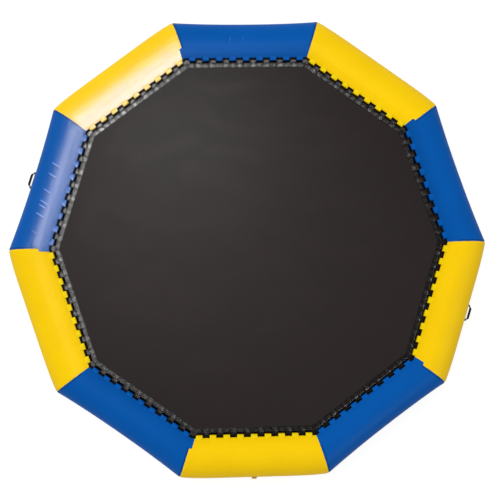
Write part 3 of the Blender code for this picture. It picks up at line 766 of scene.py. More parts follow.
def puckers(corner, angle):
    """Small folds round the section at one corner: a sum of cosines, from about -1 to 1."""
    rng = np.random.default_rng(100 + corner)
    waves = np.array([9, 14, 22, 31])
    weights = np.array([0.30, 0.40, 0.32, 0.16])
    phases = rng.uniform(0, 2 * math.pi, len(waves))
    return (weights * np.cos(angle[..., None] * waves + phases)).sum(axis=-1)


# The skin's relief, in metres: the widths of a weld's pinch, its folds, a crease and its trough
PINCH_WIDTH = 0.014
FOLD_WIDTH = 0.05
CREASE_WIDTH = 0.0105
TROUGH_WIDTH = 0.012
TROUGH_SHIFT = 0.019
CREST_REACH = 0.056
CREST_SHIFT = 0.012

# Each creased panel's creases: metres along it from its middle, and strength
CREASE_SLANT = math.tan(math.radians(15))
CREASES = {
    2: ((-0.246, 1.0), (-0.106, 0.9), (0.102, 0.8), (0.248, 0.9), (0.303, 0.8), (0.415, 0.9),
        (0.640, 0.45)),
    0: ((0.21, 0.30), (0.05, 0.25)),
}


def skin_relief(panel, share, angle, sizes):
    """How far the skin stands off its section.

    The weld pinches it by a Gaussian of the distance to the mitre; puckers fade over 50 mm from
    there; creases are slanting Gaussian ridges over the crest, each in a shallow trough.
    """
    outward, _ = on_section(angle, 0.0)
    half_side = (RING_APOTHEM + outward) * MITRE_SLOPE
    from_seam = (1 - np.abs(share)) * half_side
    degrees = np.degrees(angle)
    under_lacing = smooth((degrees - 103) / 6) * smooth((181 - degrees) / 4)
    on_ground = smooth((degrees + 118) / 10) * smooth((-62 - degrees) / 10)
    free = (1 - under_lacing) * (1 - on_ground)
    folds = np.where(share < 0, puckers(panel, angle), puckers((panel + 1) % PANELS, angle))
    relief = -sizes.weld_pinch * np.exp(-(from_seam / PINCH_WIDTH) ** 2)
    relief = relief + sizes.pucker_height * folds * np.exp(-from_seam / FOLD_WIDTH)
    along = share * half_side
    arc = TUBE_RADIUS * (angle - math.pi / 2)
    crease = 0 * relief
    for offset, strength in CREASES.get(panel, ()):
        away = along - offset - CREASE_SLANT * arc
        trough = np.exp(-((away - TROUGH_SHIFT) / TROUGH_WIDTH) ** 2)
        ridge = np.exp(-(away / CREASE_WIDTH) ** 2) - 0.5 * trough
        crease = crease + strength * ridge * np.exp(-((arc + CREST_SHIFT) / CREST_REACH) ** 4)
    return (relief + sizes.crease_height * crease) * free, from_seam, crease


def make_ring_skin(panel, sizes):
    """One mitred tube: the section carried along the panel, out in the skin and back inside it."""
    angle = 2 * math.pi * np.arange(SKIN_AROUND) / SKIN_AROUND - math.pi
    creased = panel in CREASES
    stations = CREASED_STATIONS if creased else SKIN_STATIONS
    shares = eased_shares(stations, 0.35 if creased else 0.74)[:, None]
    relief, from_seam, crease = skin_relief(panel, shares, angle[None], sizes)
    outside = on_section(angle[None], relief, panel_swell(panel, shares, sizes))
    back = np.array([1.0, 0.95, 0.6, 0.0, -0.6, -0.95, -1.0])[:, None]
    inside = on_section(angle[None], -SKIN_WALL, panel_swell(panel, back, sizes))
    skin = on_panel(panel, shares, 0.0, *outside)
    lining = on_panel(panel, back, 0.0, *inside)
    points = np.concatenate([skin, lining])
    half_side = (RING_APOTHEM + TUBE_RADIUS * np.cos(angle)) * MITRE_SLOPE
    rows = np.concatenate([shares[:, 0], back[:, 0], shares[:1, 0]])
    wrapped = np.append(angle, math.pi)
    uv = np.stack([rows[:, None] * np.append(half_side, half_side[0]),
                   np.broadcast_to(wrapped * TUBE_RADIUS, (len(rows), len(wrapped)))], axis=-1)
    lining_rows = np.ones((len(back), SKIN_AROUND))
    stored = {"seam": np.concatenate([from_seam, lining_rows]),
              "crease": np.concatenate([crease, 0 * lining_rows])}
    number, tone = f"{panel + 1:02d}", panel_tone(panel)
    form = Form().add(points, uv, ring=True)
    obj = form.build(f"ring_skin_{number}", f"{tone}_coated_fabric", stored=stored)
    dress(obj, "ring", f"{tone}_pvc", f"tube_panel_{number}")


def band_section(low, high, lift, thickness, count=9):
    """A closed outline that hugs the inner shoulder: under it at lift, then back over it.

    Its edges are eased, the upper one as a long feather: full thickness 9 mm in from it.
    """
    angle = np.linspace(low, high, count)
    edge = math.radians(0.35)
    feather = [high - 5 * edge, high - 2 * edge, high]
    over = np.concatenate([[low, low + edge], angle[1:-1], feather])
    top = np.full(len(over), thickness)
    top[[0, -2, -1]] = thickness * np.array([0.45, 0.7, 0.12])
    angles = math.pi - np.concatenate([angle, over[::-1]])
    lifts = lift + np.concatenate([np.zeros(count), top[::-1]])
    return on_section(angles, lifts)


def strap_section(width, thickness):
    """Eight (across, off) points round a flat strap with eased edges."""
    half = width / 2
    ease = 0.45 * thickness
    inner = half - ease
    across = np.array([-half, -inner, inner, half, half, inner, -inner, -half])
    off = thickness * np.array([0.3, 0.0, 0.0, 0.3, 0.7, 1.0, 1.0, 0.7])
    return across, off


def along_path(path, off):
    """A (outward, height) path set off to its left, for each strap point."""
    path = np.asarray(path, float)
    tangent = np.gradient(path, axis=0)
    tangent /= np.linalg.norm(tangent, axis=1, keepdims=True)
    outward = path[:, :1] - tangent[:, 1:] * off
    height = path[:, 1:] + tangent[:, :1] * off
    return outward, height


def strap_uv(across, path):
    """Metres across a strap and along its path."""
    wrapped = np.append(across, across[0])
    return np.stack(np.meshgrid(wrapped, metres_along(path)), axis=-1)


def belt_loop_path(count=17):
    """Inside line of a belt loop, from its foot on the rub band over the rope to the strip.

    lift = foot + (crest - foot) x (1 - smooth(|t| / reach)) at angle lace + t / radius; its inner
    side reaches further than its outer one.
    """
    crest = ROPE_LIFT + LOOP_BORE
    t = np.sin(np.linspace(-math.pi / 2, math.pi / 2, count))
    reach = np.where(t < 0, *BELT_LOOP_REACHES)
    t = reach * t
    foot = np.where(t < 0, 0.0020, 0.0024)
    rise = 1 - smooth((np.abs(t) - 0.004) / (reach - 0.004))
    lift = foot + (crest - foot) * rise
    outward, height = on_section(math.pi - LACE_ANGLE - t / TUBE_RADIUS, lift)
    return np.stack([outward, height], axis=-1)


def make_lacing(panel, sizes):
    """A coloured strip on the inner shoulder with its nine loops, which arch over the rope."""
    section = band_section(*STRIP_ANGLES, TOUCH_GAP, STRIP_THICKNESS)
    if panel % 2 == 0:
        stations = [(panel, -1, 0.0), (panel, 1, 0.0), ((panel + 1) % PANELS, -1, STRIP_OVERRUN)]
    else:
        stations = [(panel, -1, STRIP_OVERRUN), (panel, 1, 0.0)]
    strip = np.stack([on_panel(*station, *section) for station in stations])
    path = belt_loop_path()
    across, off = strap_section(sizes.belt_loop_width, sizes.strap_thickness)
    outward, height = along_path(path, off)
    centres = (np.arange(BELT_LOOPS) - (BELT_LOOPS - 1) / 2) * LACE_PITCH
    shift = centres[:, None, None] + across
    loops = on_panel(panel, 0.0, shift, outward, height)
    form = Form().add(strip).add(loops, strap_uv(across, path), finish=1)
    number, tone = f"{panel + 1:02d}", panel_tone(panel)
    obj = form.build(f"lacing_{number}", f"{tone}_coated_fabric", f"{tone}_strap")
    dress(obj, "ring", f"{tone}_pvc", f"lacing_strip_{number}")


def round_the_ring(count):
    """Columns of panels and shares, with count stations on each panel in turn."""
    shares = np.linspace(-1, 1, count + 1)[:-1]
    return np.repeat(np.arange(PANELS), count)[:, None], np.tile(shares, PANELS)[:, None]


def make_rub_band():
    """The black band under the rope, carried round the ten corners."""
    section = band_section(*BAND_ANGLES, TOUCH_GAP, BAND_THICKNESS, 13)
    points = on_panel(np.arange(PANELS)[:, None], 1.0, 0.0, *section)
    obj = Form().add(points, ring=True).build("rub_band_skin", "black_coated_fabric")
    dress(obj, "ring", "black_pvc", "rub_band")


def make_rope(sizes):
    """One endless rope: a circle carried round the ten corners."""
    angle = 2 * math.pi * np.arange(10) / 10
    radius = sizes.rope_diameter / 2
    points = on_panel(*round_the_ring(24), 0.0, ROPE_OUTWARD + radius * np.cos(angle),
                      ROPE_HEIGHT + radius * np.sin(angle))
    form = Form().add(points, ring=True)
    obj = form.build("laced_rope", "braided_rope", sharp=BAR_SMOOTH_ANGLE)
    dress(obj, "ring", "black_rope", "lacing_rope")


def mat_loop_path():
    """The line of a mat loop: out of the border, round the rope's far side, and back under it.

    A flat tail in the border, then a straight leg that meets a circle about the rope at its
    tangent point; the lower half mirrors the upper.
    """
    rope_apothem = RING_APOTHEM + ROPE_OUTWARD
    tail = np.array([[BORDER_TAIL - rope_apothem, 0.0010]])
    bend = np.array([[BORDER_EDGE + 0.001 - rope_apothem, 0.0012]])
    bearing = math.pi - math.atan2(bend[0, 1], -bend[0, 0])
    tangent = bearing - math.acos(LOOP_BORE / float(np.linalg.norm(bend)))
    turn = np.linspace(tangent, -tangent, 11)
    arc = LOOP_BORE * np.stack([np.cos(turn), np.sin(turn)], axis=-1)
    leg = bend + np.array([0.12, 0.45, 0.85])[:, None] * (arc[:1] - bend)
    top = np.concatenate([tail, 0.5 * (tail + bend), bend - np.array([[0.003, 0.0]]), leg])
    path = np.concatenate([top, arc, top[::-1] * np.array([1.0, -1.0])])
    return path + np.array([ROPE_OUTWARD, ROPE_HEIGHT])


def make_mat_border(sizes):
    """The mat's folded edge, which rises in a lump over each loop and between, and its loops.

    lump = height x (1/2 + 1/2 cos 2p)^0.8 x (1 - 0.3 (1 + cos p)), with p = 2 pi along / pitch,
    and highest at two thirds of the way out to the edge.
    """
    back = BORDER_BACK - RING_APOTHEM
    edge = BORDER_EDGE - RING_APOTHEM
    wide = edge - back
    share = np.array([0.0, 0.03, 0.12, 0.28, 0.45, 0.62, 0.78, 0.9, 0.97, 1.0])
    crown = np.array([0.45, 0.72, 0.86, 0.95, 1.0, 1.0, 0.95, 0.84, 0.62, 0.2])
    swell = np.interp(share, [0.0, 0.25, 0.65, 0.9, 1.0], [0.0, 0.35, 1.0, 0.75, 0.2])
    gap = MAT_THICKNESS / 2 + TOUCH_GAP
    inside = edge - 0.002
    outward = np.concatenate([back + wide * share, (back + wide * share)[::-1],
                              [back, inside, inside, back]])
    level = np.concatenate([BORDER_HALF * crown, -(BORDER_HALF * crown)[::-1],
                            [-gap, -gap, gap, gap]])
    level[0], level[2 * len(share) - 1] = gap + 0.0012, -gap - 0.0012
    lumpy = np.concatenate([swell, -0.5 * swell[::-1], np.zeros(4)])
    half_side = (RING_APOTHEM + back) * MITRE_SLOPE
    stations = round_the_ring(144)
    phase = 2 * math.pi * stations[1] * half_side / LACE_PITCH
    lump = (0.5 + 0.5 * np.cos(2 * phase)) ** 0.8 * (1 - 0.3 * (1 + np.cos(phase)))
    round_section = np.concatenate([share, share[::-1], np.zeros(4)])
    taut = np.interp(round_section, [0.0, 0.15, 0.8, 1.0], [0.2, 1.0, 1.0, 0.6])
    taut = (0.18 + 0.82 * lump) * taut
    height = ROPE_HEIGHT + level + sizes.border_lump * lump * lumpy
    form = Form().add(on_panel(*stations, 0.0, outward, height), ring=True)
    path = mat_loop_path()
    across, off = strap_section(sizes.mat_loop_width, sizes.strap_thickness)
    out, high = along_path(path, off)
    uv = strap_uv(across, path)
    centres = (np.arange(BELT_LOOPS - 1) + 1 - BELT_LOOPS / 2) * LACE_PITCH
    shift = centres[:, None, None] + across
    every = np.arange(PANELS)[:, None, None, None]
    form.add(on_panel(every, 0.0, shift, out, high), uv, finish=1)
    bent = np.insert(across, [2, 6], 0.0)
    off = np.insert(off, [2, 6], [off[1], off[5]])
    out, high = along_path(path, off)
    every = np.arange(PANELS)[:, None, None]
    before = on_panel(every, 1.0, np.minimum(bent, 0.0), out, high)
    after = on_panel(every + 1, -1.0, np.maximum(bent, 0.0), out, high)
    corners = np.where(bent[:, None] < 0, before, after)
    form.add(corners, strap_uv(bent, path), finish=1)
    legs = 0.4 * smooth((ROPE_OUTWARD - 0.006 - path[:, 0]) / 0.022)
    legs = np.concatenate([np.tile(np.repeat(legs, len(across)), PANELS * (BELT_LOOPS - 1)),
                           np.tile(np.repeat(legs, len(bent)), PANELS)])
    stored = {"lump": np.concatenate([taut.ravel(), legs])}
    obj = form.build("mat_border_cloth", "glossy_border_cloth", "mat_loop_cloth", stored=stored)
    dress(obj, "ring", "black_webbing", "mat_border")


def cloth_height(points, sizes):
    """Slow waves in the mat: sums of sines of x and y that fade out under the border."""
    x, y = points[..., 0], points[..., 1]
    rng = np.random.default_rng(7)
    bearing = rng.uniform(0, 2 * math.pi, 6)
    length = np.array([1.9, 1.3, 0.9, 0.62, 0.45, 0.33])
    phase = rng.uniform(0, 2 * math.pi, 6)
    weight = np.array([0.9, 0.8, 0.6, 0.35, 0.22, 0.14])
    run = (x[..., None] * np.cos(bearing) + y[..., None] * np.sin(bearing)) / length
    waves = (weight * np.sin(2 * math.pi * run + phase)).sum(axis=-1)
    turn = np.arange(PANELS) * PANEL_TURN + FIRST_TURN
    apothem = (x[..., None] * np.cos(turn) + y[..., None] * np.sin(turn)).max(axis=-1)
    return sizes.cloth_ripple * waves * smooth((RIPPLE_END - apothem) / 0.35)


def slab_columns(start, end, count):
    """Top and underside of the cloth, out and back, as (apothem, height) rows."""
    run = start + (end - start) * np.linspace(0, 1, count)
    apothem = np.concatenate([run, run[::-1]])
    half = MAT_THICKNESS / 2
    height = ROPE_HEIGHT + np.concatenate([np.full(count, half), np.full(count, -half)])
    return apothem - RING_APOTHEM, height


def make_mat_gore(panel, sizes):
    """One wedge of the mat, from the centre panel to the border."""
    outward, height = slab_columns(MAT_INNER, MAT_EDGE, 44)
    points = on_panel(panel, np.linspace(-1, 1, 23)[:, None], 0.0, outward, height)
    points[..., 2] += cloth_height(points, sizes)
    number = f"{panel + 1:02d}"
    obj = Form().add(points).build(f"mat_cloth_{number}", "woven_mat")
    start, end = [on_panel(panel, 0.0, 0.0, apothem - RING_APOTHEM, ROPE_HEIGHT)
                  for apothem in (GIVE_START, MAT_INNER)]
    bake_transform(obj)
    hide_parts(f"mat_gore_{number}")


def make_mat_centre(sizes):
    """The mat's middle: a slab of rings, each the ring's own decagon at a smaller apothem."""
    spread = np.concatenate([[0.01], np.linspace(0.06, 1.0, 22)])
    apothem = CENTRE_EDGE * np.concatenate([spread, spread[::-1]])[:, None]
    half = MAT_THICKNESS / 2
    level = np.repeat([half, -half], len(spread))[:, None]
    panels, shares = round_the_ring(10)
    points = on_panel(panels[:, 0], shares[:, 0], 0.0, apothem - RING_APOTHEM, ROPE_HEIGHT + level)
    points[..., 2] += cloth_height(points, sizes)
    tape = MM * np.array([[-16, -1.6], [16, -1.6], [16, -2.6], [-16, -2.6]])
    tape = rounded(tape + np.array([CENTRE_EDGE - RING_APOTHEM, ROPE_HEIGHT]), 0.0004)
    rim = on_panel(panels, shares, 0.0, tape[:, 0], tape[:, 1])
    rim[..., 2] += cloth_height(rim, sizes)
    obj = Form().add(points).add(rim, ring=True).build("mat_cloth_centre", "woven_mat")
    dress(obj, "mat_centre", "mat_fabric", "mat_centre_panel")


def skin_patch(panel, angle, extent, sizes, hole=0.0):
    """A patch with round ends that hugs the tube, as a grid from its middle to its rim and back.

    A rim point is at a stadium's turn t; a row lies at a share of the way out to it. Each point
    (along, arc) goes to the section at angle + arc / radius, and along the panel.
    """
    turn = 2 * math.pi * np.arange(PATCH_SIDES) / PATCH_SIDES
    half, end = extent[0] / 2, extent[1] / 2
    rim_along = end * np.cos(turn) + (half - end) * np.clip(3 * np.cos(turn), -1, 1)
    rim_arc = end * np.sin(turn)
    reach = np.hypot(rim_along, rim_arc)
    first = hole / reach if hole else np.full(PATCH_SIDES, 0.02)
    over = np.array([0.0, 0.2, 0.4, 0.6, 0.8, 0.93, 0.98, 1.0])[:, None]
    share = first + (1 - first) * over
    share = np.concatenate([share, share[::-1]])
    lift = np.array([1, 1, 1, 1, 1, 0.98, 0.85, 0.35, 0, 0, 0, 0, 0, 0, 0, 0])
    lift = (TOUCH_GAP + PATCH_THICKNESS * lift)[:, None]
    along = share * rim_along
    arc = share * rim_arc
    half_side = (RING_APOTHEM + TUBE_RADIUS) * MITRE_SLOPE
    outward, level = on_section(angle + arc / TUBE_RADIUS, lift,
                                panel_swell(panel, along / half_side, sizes))
    return on_panel(panel, 0.0, along, outward, level)


def add_panel_patch(name, node, panel, extent, sizes, hole=0.0):
    """A patch in its panel's colour, on the middle of its outer wall."""
    points = skin_patch(panel, 0.0, extent, sizes, hole)
    tone = panel_tone(panel)
    obj = Form().add(points, ring=bool(hole)).build(name, f"{tone}_coated_fabric")
    dress(obj, "ring", f"{tone}_pvc", node)


def bevelled_copy(node, name, finish, width):
    """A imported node's copy with its corners eased: points merged, flat faces joined, bevelled."""
    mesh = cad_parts[node].data.copy()
    mesh.name = name
    whole = bmesh.new()
    whole.from_mesh(mesh)
    bmesh.ops.remove_doubles(whole, verts=whole.verts, dist=0.00001)
    bmesh.ops.dissolve_limit(whole, angle_limit=math.radians(1), verts=whole.verts,
                             edges=whole.edges)
    bmesh.ops.recalc_face_normals(whole, faces=whole.faces)
    whole.to_mesh(mesh)
    whole.free()
    mesh.materials.clear()
    mesh.materials.append(finished(finish))
    mesh.shade_smooth()
    mesh.set_sharp_from_angle(angle=SMOOTH_ANGLE)
    obj = placed(name, mesh)
    bevel = obj.modifiers.new("eased_edges", "BEVEL")
    bevel.width = width
    bevel.segments = 3
    bevel.limit_method = "ANGLE"
    bevel.angle_limit = math.radians(40)
    return obj


def make_handle(side, sizes):
    """A bowed bar with a ribbed sleeve, the lugs that carry it, and the patch under them.

    The bar steps out by its bow between two rounded corners at each end, and grows thicker on
    the way: radius = 6 mm + 3.8 mm x smooth((bow - 5 mm) / 11 mm), less 1.3 mm in its sleeve.
    """
    panel = HANDLE_PANELS[side]
    place = fitting_frame(panel)
    body = f"{side}_handle"
    ends = np.array(HANDLE_END)
    line = rounded(np.concatenate([ends, ends[::-1] * [-1, 1]]), 0.008, 8, False)
    x, bow = line[:, 0], line[:, 1]
    path = in_frame(place, np.stack([x, 0 * x, HANDLE_AXIS_HEIGHT + bow], axis=-1))
    radius = (6 * MM + 3.8 * MM * smooth((bow - 5 * MM) / (11 * MM))
              - 1.3 * MM * smooth((SLEEVE_HALF + 1.5 * MM - np.abs(x)) / (1.5 * MM)))
    bar = Form().add(bar_along(path, (0.0, 0.0, 1.0), radius[:, None, None]))
    bar = bar.build(f"handle_bar_{side}", "black_webbing_cloth", sharp=BAR_SMOOTH_ANGLE)
    dress(bar, body, "black_webbing", f"grab_handle_{side}")

    rows = np.linspace(-SLEEVE_HALF, SLEEVE_HALF, 12 * sizes.grip_ribs + 1)
    wave = 0.5 + 0.5 * np.cos(math.pi * rows * sizes.grip_ribs / SLEEVE_HALF)
    eased = smooth((SLEEVE_HALF - np.abs(rows)) / (4 * MM))
    radius = 12.5 * MM + eased * (1.4 * MM + 1.6 * MM * wave)
    bore = [[SLEEVE_BORE, SLEEVE_HALF], [SLEEVE_BORE, -SLEEVE_HALF]]
    profile = np.concatenate([np.stack([radius, rows], axis=-1), bore])
    sleeve = lathe(profile, SLEEVE_SIDES)[..., [2, 1, 0]]
    sleeve[..., 2] += HANDLE_AXIS_HEIGHT + HANDLE_BOW
    grip = Form().add(in_frame(place, sleeve), ring=True)
    grip = grip.build(f"handle_sleeve_{side}", "moulded_rubber", sharp=math.radians(50))
    dress(grip, body, "black_rubber", f"handle_grip_{side}")

    lugs = bevelled_copy(f"handle_base_{side}", f"handle_lugs_{side}", "moulded_rubber", LUG_BEVEL)
    dress(lugs, "ring", "black_rubber", f"handle_base_{side}")
    add_panel_patch(f"handle_patch_skin_{side}", f"handle_patch_{side}", panel, HANDLE_PATCH, sizes)


def cross_strap(line, width, thickness):
    """Points, (along, side, out), of a flat strap over a fitting, and its section's own across."""
    across, off = strap_section(width, thickness)
    level, height = along_path(line, off)
    return np.stack(np.broadcast_arrays(across[None], level, height), axis=-1), across


def make_anchor(panel, sizes):
    """A steel D ring in a webbing tunnel on a black patch, low on the outside of a yellow panel.

    The ring is two short legs and half an ellipse, (25 cos t, 12 + 26 sin t) mm. The tunnel's line
    is a foot of 1.4 mm that rises to 10.4 mm as 1 - smooth((|t| - 3 mm) / 21 mm).
    """
    number = ANCHOR_PANELS.index(panel) + 1
    place = fitting_frame(panel, ANCHOR_ANGLE)
    origin, along, side, out = place
    turn = np.linspace(0, math.pi, 25)
    arc = MM * np.stack([25 * np.cos(turn), 12 + 26 * np.sin(turn)], axis=-1)
    outline = rounded(np.concatenate([[[25 * MM, 0.0]], arc, [[-25 * MM, 0.0]]]), 0.0045)
    hang_side = math.cos(HANGING_TURN) * side + math.sin(HANGING_TURN) * out
    hang_out = -math.sin(HANGING_TURN) * side + math.cos(HANGING_TURN) * out
    pivot = origin + RING_AXIS_HEIGHT * out
    path = pivot + outline[:, :1] * along + outline[:, 1:] * hang_side
    wire = Form().add(bar_along(path, hang_out, 4 * MM, closed=True), ring=True)
    wire = wire.build(f"anchor_loop_{number}", "brushed_steel", sharp=BAR_SMOOTH_ANGLE)
    dress(wire, f"mooring_ring_{number}", "steel", f"anchor_ring_{number}")

    t = 24 * MM * np.sin(np.linspace(-math.pi / 2, math.pi / 2, 19))
    rise = 1 - smooth((np.abs(t) - 3 * MM) / (21 * MM))
    line = np.stack([t, 1.4 * MM + 9 * MM * rise], axis=-1)
    tunnel, across = cross_strap(line, *TUNNEL_STRAP)
    form = Form().add(skin_patch(panel, ANCHOR_ANGLE, ANCHOR_PATCH, sizes))
    form.add(in_frame(place, tunnel), strap_uv(across, line), finish=1)
    obj = form.build(f"anchor_patch_skin_{number}", "black_coated_fabric", "black_webbing_cloth")
    dress(obj, "ring", "black_pvc", f"anchor_patch_{number}")


# The valve's profiles, (radius, out) in millimetres, and the tether's line, (side, out)
WASHER = [(25.3, 2.1), (33.0, 2.1), (33.0, 4.1), (25.3, 4.1)]
NUT = [(25.3, -7.4), (34.0, -7.4), (34.0, -1.4), (25.3, -1.4)]
THROAT = [(14, -22), (25, -22), (25, 4.4), (34, 4.4), (34, 8.4), (26, 8.4), (26, 19.7), (20, 19.7),
          (20, -19), (14, -19)]
BRIDGE = [(-4, -11.3), (4, -11.3), (4, -7.3), (-4, -7.3)]
BRIDGE_SPAN = [-21.5, -3.6, 3.6, 21.5]
PLUNGER = [(0.2, -25.3), (17, -25.3), (17, -22.3), (2.5, -22.3), (2.5, 2.7), (6, 2.7), (6, 5.7),
           (0.2, 5.7)]
LID = [(0.2, 24), (25, 24), (30, 19), (30, 10.5), (26.3, 10.5), (26.3, 20), (0.2, 20)]
TETHER_RING = [(26.3, 8.7), (30, 8.7), (30, 10.2), (26.3, 10.2)]
TETHER_LINE = [(-28.8, 8.7), (-38, 8.7), (-38, 17.7), (-30.3, 17.7)]
SPRING_HEIGHTS = (-6.5, 1.9)
SPRING_TURNS = 4
SPRING_FOOT = -7.0
TETHER_ENDS = (10.5, 18.0)


def make_valve(sizes):
    """The valve's pieces, turned about its axis from their profiles, and the tether's strap.

    The spring's wire follows (4.2 cos t, 4.2 sin t, h) mm, h even in t. The cap's rim is knurled
    by smooth((r - 27.2 mm) / 1.6 mm) x smooth((20.5 mm - h) / 3 mm).
    """
    place = fitting_frame(VALVE_PANEL)
    out = place[3]
    tone = panel_tone(VALVE_PANEL)

    def outline(profile, ease=0.6, steps=4, closed=True):
        return rounded(MM * np.array(profile, float), ease * MM, steps, closed)

    def turned(profile, *settings, closed=True):
        return Form().add(in_frame(place, lathe(profile, *settings)), ring=closed)

    def on_axis(level):
        return in_frame(place, np.array([0.0, 0.0, level * MM]))

    add_panel_patch("valve_patch_skin", "valve_patch", VALVE_PANEL, VALVE_PATCH, sizes, THROAT_HOLE)
    washer = turned(outline(WASHER), VALVE_SIDES).build("valve_washer", "moulded_rubber")
    dress(washer, "ring", "black_rubber", "valve_seal")
    nut = outline(NUT)
    ridged = (nut[:, 0] > 0.03).astype(float)
    nut = turned(nut, VALVE_SIDES, 12, 0.06, ridged).build("valve_lock_nut", "moulded_plastic")
    dress(nut, "ring", "grey_plastic", "valve_nut")

    bridge = outline(BRIDGE)
    span = MM * np.array(BRIDGE_SPAN)[:, None]
    bar = np.stack(np.broadcast_arrays(span, bridge[:, 0], bridge[:, 1]), axis=-1)
    form = turned(outline(THROAT), VALVE_SIDES).add(in_frame(place, bar))
    dress(form.build("valve_throat", "moulded_plastic"), "ring", "grey_plastic", "valve_body")
    form = turned(outline(PLUNGER, closed=False), PLUNGER_SIDES, closed=False)
    dress(form.build("valve_plunger", "moulded_plastic"), "poppet", "grey_plastic", "valve_poppet")

    turn = np.linspace(0, SPRING_TURNS * 2 * math.pi, 97)
    height = np.linspace(*SPRING_HEIGHTS, 97)
    helix = MM * np.stack([4.2 * np.cos(turn), 4.2 * np.sin(turn), height], axis=-1)
    coil = Form().add(bar_along(in_frame(place, helix), out, 0.5 * MM, 8))
    coil = coil.build("valve_coil", "brushed_steel", sharp=BAR_SMOOTH_ANGLE)
    dress(coil, "ring", "steel", "valve_spring")
    bridge_top = on_axis(SPRING_FOOT)
    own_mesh(coil)

    lid = outline(LID, 1.6, 6, False)
    radius, level = lid[:, 0] / MM, lid[:, 1] / MM
    ridged = smooth((radius - 27.2) / 1.6) * smooth((20.5 - level) / 3)
    lid = turned(lid, 4 * sizes.cap_knurls, sizes.cap_knurls, 0.035, ridged, closed=False)
    dress(lid.build("valve_lid", f"{tone}_coated_fabric"), "cap", f"{tone}_pvc", "valve_cap")

    line = outline(TETHER_LINE, 4.2, 9, False)
    strap, across = cross_strap(line[::-1], *TETHER_STRAP)
    form = turned(outline(TETHER_RING, 0.4), VALVE_SIDES)
    form.add(in_frame(place, strap), strap_uv(across, line))
    tether = form.build("cap_leash", "moulded_rubber")
    low, high = [on_axis(level) for level in TETHER_ENDS]
    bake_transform(tether)
    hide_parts("cap_tether")


def stage_material(colour):
    """A pale matt floor that shows the camera and reflections a white ground with its shadow.

    Under the mat it is the plain floor for every ray, and so as dark as the ring leaves it.
    """
    paint = Paint("studio_floor")
    seen, glossy, through = [paint.node("ShaderNodeLightPath", output=ray) for ray in (0, 3, 6)]
    looked_at = paint.maths("MAXIMUM", paint.maths("MAXIMUM", seen, glossy), through)
    from_centre = paint.node("ShaderNodeVectorMath", {0: paint.place()}, 1, operation="LENGTH")
    open_ground = paint.step(from_centre, *OPEN_GROUND)
    plain = paint.node("ShaderNodeBsdfDiffuse", {"Color": shade(colour, 1.0)})
    faint = paint.node("ShaderNodeBsdfDiffuse", {"Color": FLOOR_FAINT})
    glow = paint.node("ShaderNodeEmission", {"Color": WHITE, "Strength": FLOOR_GLOW})
    white = paint.node("ShaderNodeAddShader", {0: faint, 1: glow})
    shader = paint.node("ShaderNodeMixShader", {0: looked_at * open_ground, 1: plain, 2: white})
    paint.node("ShaderNodeOutputMaterial", {"Surface": shader})
    return paint.owner


def add_lamp(name, kind, position, target, lights=None, **settings):
    """A lamp with its -Z towards a target, which lights all pieces or one group of them."""
    lamp = bpy.data.lights.new(name, kind)
    for key, value in settings.items():
        setattr(lamp, key, value)
    back = np.array(position, float) - np.array(target, float)
    back /= np.linalg.norm(back)
    side = np.cross((0.0, 0.0, 1.0), back)
    side /= np.linalg.norm(side)
    up = np.cross(back, side)
    rows = [[side[i], up[i], back[i], position[i]] for i in range(3)]
    obj = placed(name, lamp)
    obj.matrix_world = Matrix([*rows, [0.0, 0.0, 0.0, 1.0]])
    obj.light_linking.receiver_collection = lights
    return obj


def add_camera():
    """The photograph's camera: turned and shifted so that the ring lies as it does there.

    A point goes to (tilt x (point - ring centre)) + shift, a distance below the lens.
    """
    data = bpy.data.cameras.new("photo_camera")
    data.sensor_fit = "HORIZONTAL"
    data.sensor_width = SENSOR_WIDTH
    data.lens = CAMERA_FOCAL / PHOTO_WIDTH * SENSOR_WIDTH
    data.clip_end = 200.0
    seen = Matrix.Translation(CAMERA_SHIFT)
    for degrees, axis in zip(CAMERA_TURNS, "XYZ"):
        seen = seen @ Matrix.Rotation(math.radians(degrees), 4, axis)
    camera = placed("photo_camera", data)
    camera.matrix_world = (seen @ Matrix.Translation((0, 0, -TUBE_RADIUS))).inverted()
    bpy.context.scene.camera = camera


def add_floor(colours):
    """A wide flat floor just under the ring."""
    mesh = bpy.data.meshes.new("studio_floor")
    corners = [(x * FLOOR_HALF, y * FLOOR_HALF, FLOOR_LEVEL)
               for x, y in ((-1, -1), (1, -1), (1, 1), (-1, 1))]
    mesh.from_pydata(corners, [], [(0, 1, 2, 3)])
    mesh.materials.append(stage_material(colours.floor))
    floor = placed("studio_floor", mesh)


def set_world():
    """An even pale sky, white where the camera sees it."""
    paint = Paint("studio_sky", "worlds")
    seen = paint.node("ShaderNodeLightPath")
    sky = paint.node("ShaderNodeBackground", {"Color": WHITE, "Strength": SKY_STRENGTH})
    white = paint.node("ShaderNodeBackground", {"Color": WHITE})
    shader = paint.node("ShaderNodeMixShader", {0: seen, 1: sky, 2: white})
    paint.node("ShaderNodeOutputWorld", {"Surface": shader})
    bpy.context.scene.world = paint.owner


def gathered(name, pieces):
    """A collection of finished pieces, for lamps that light only these."""
    group = bpy.data.collections.new(name)
    for piece in pieces:
        group.objects.link(bpy.data.objects[piece])
    return group


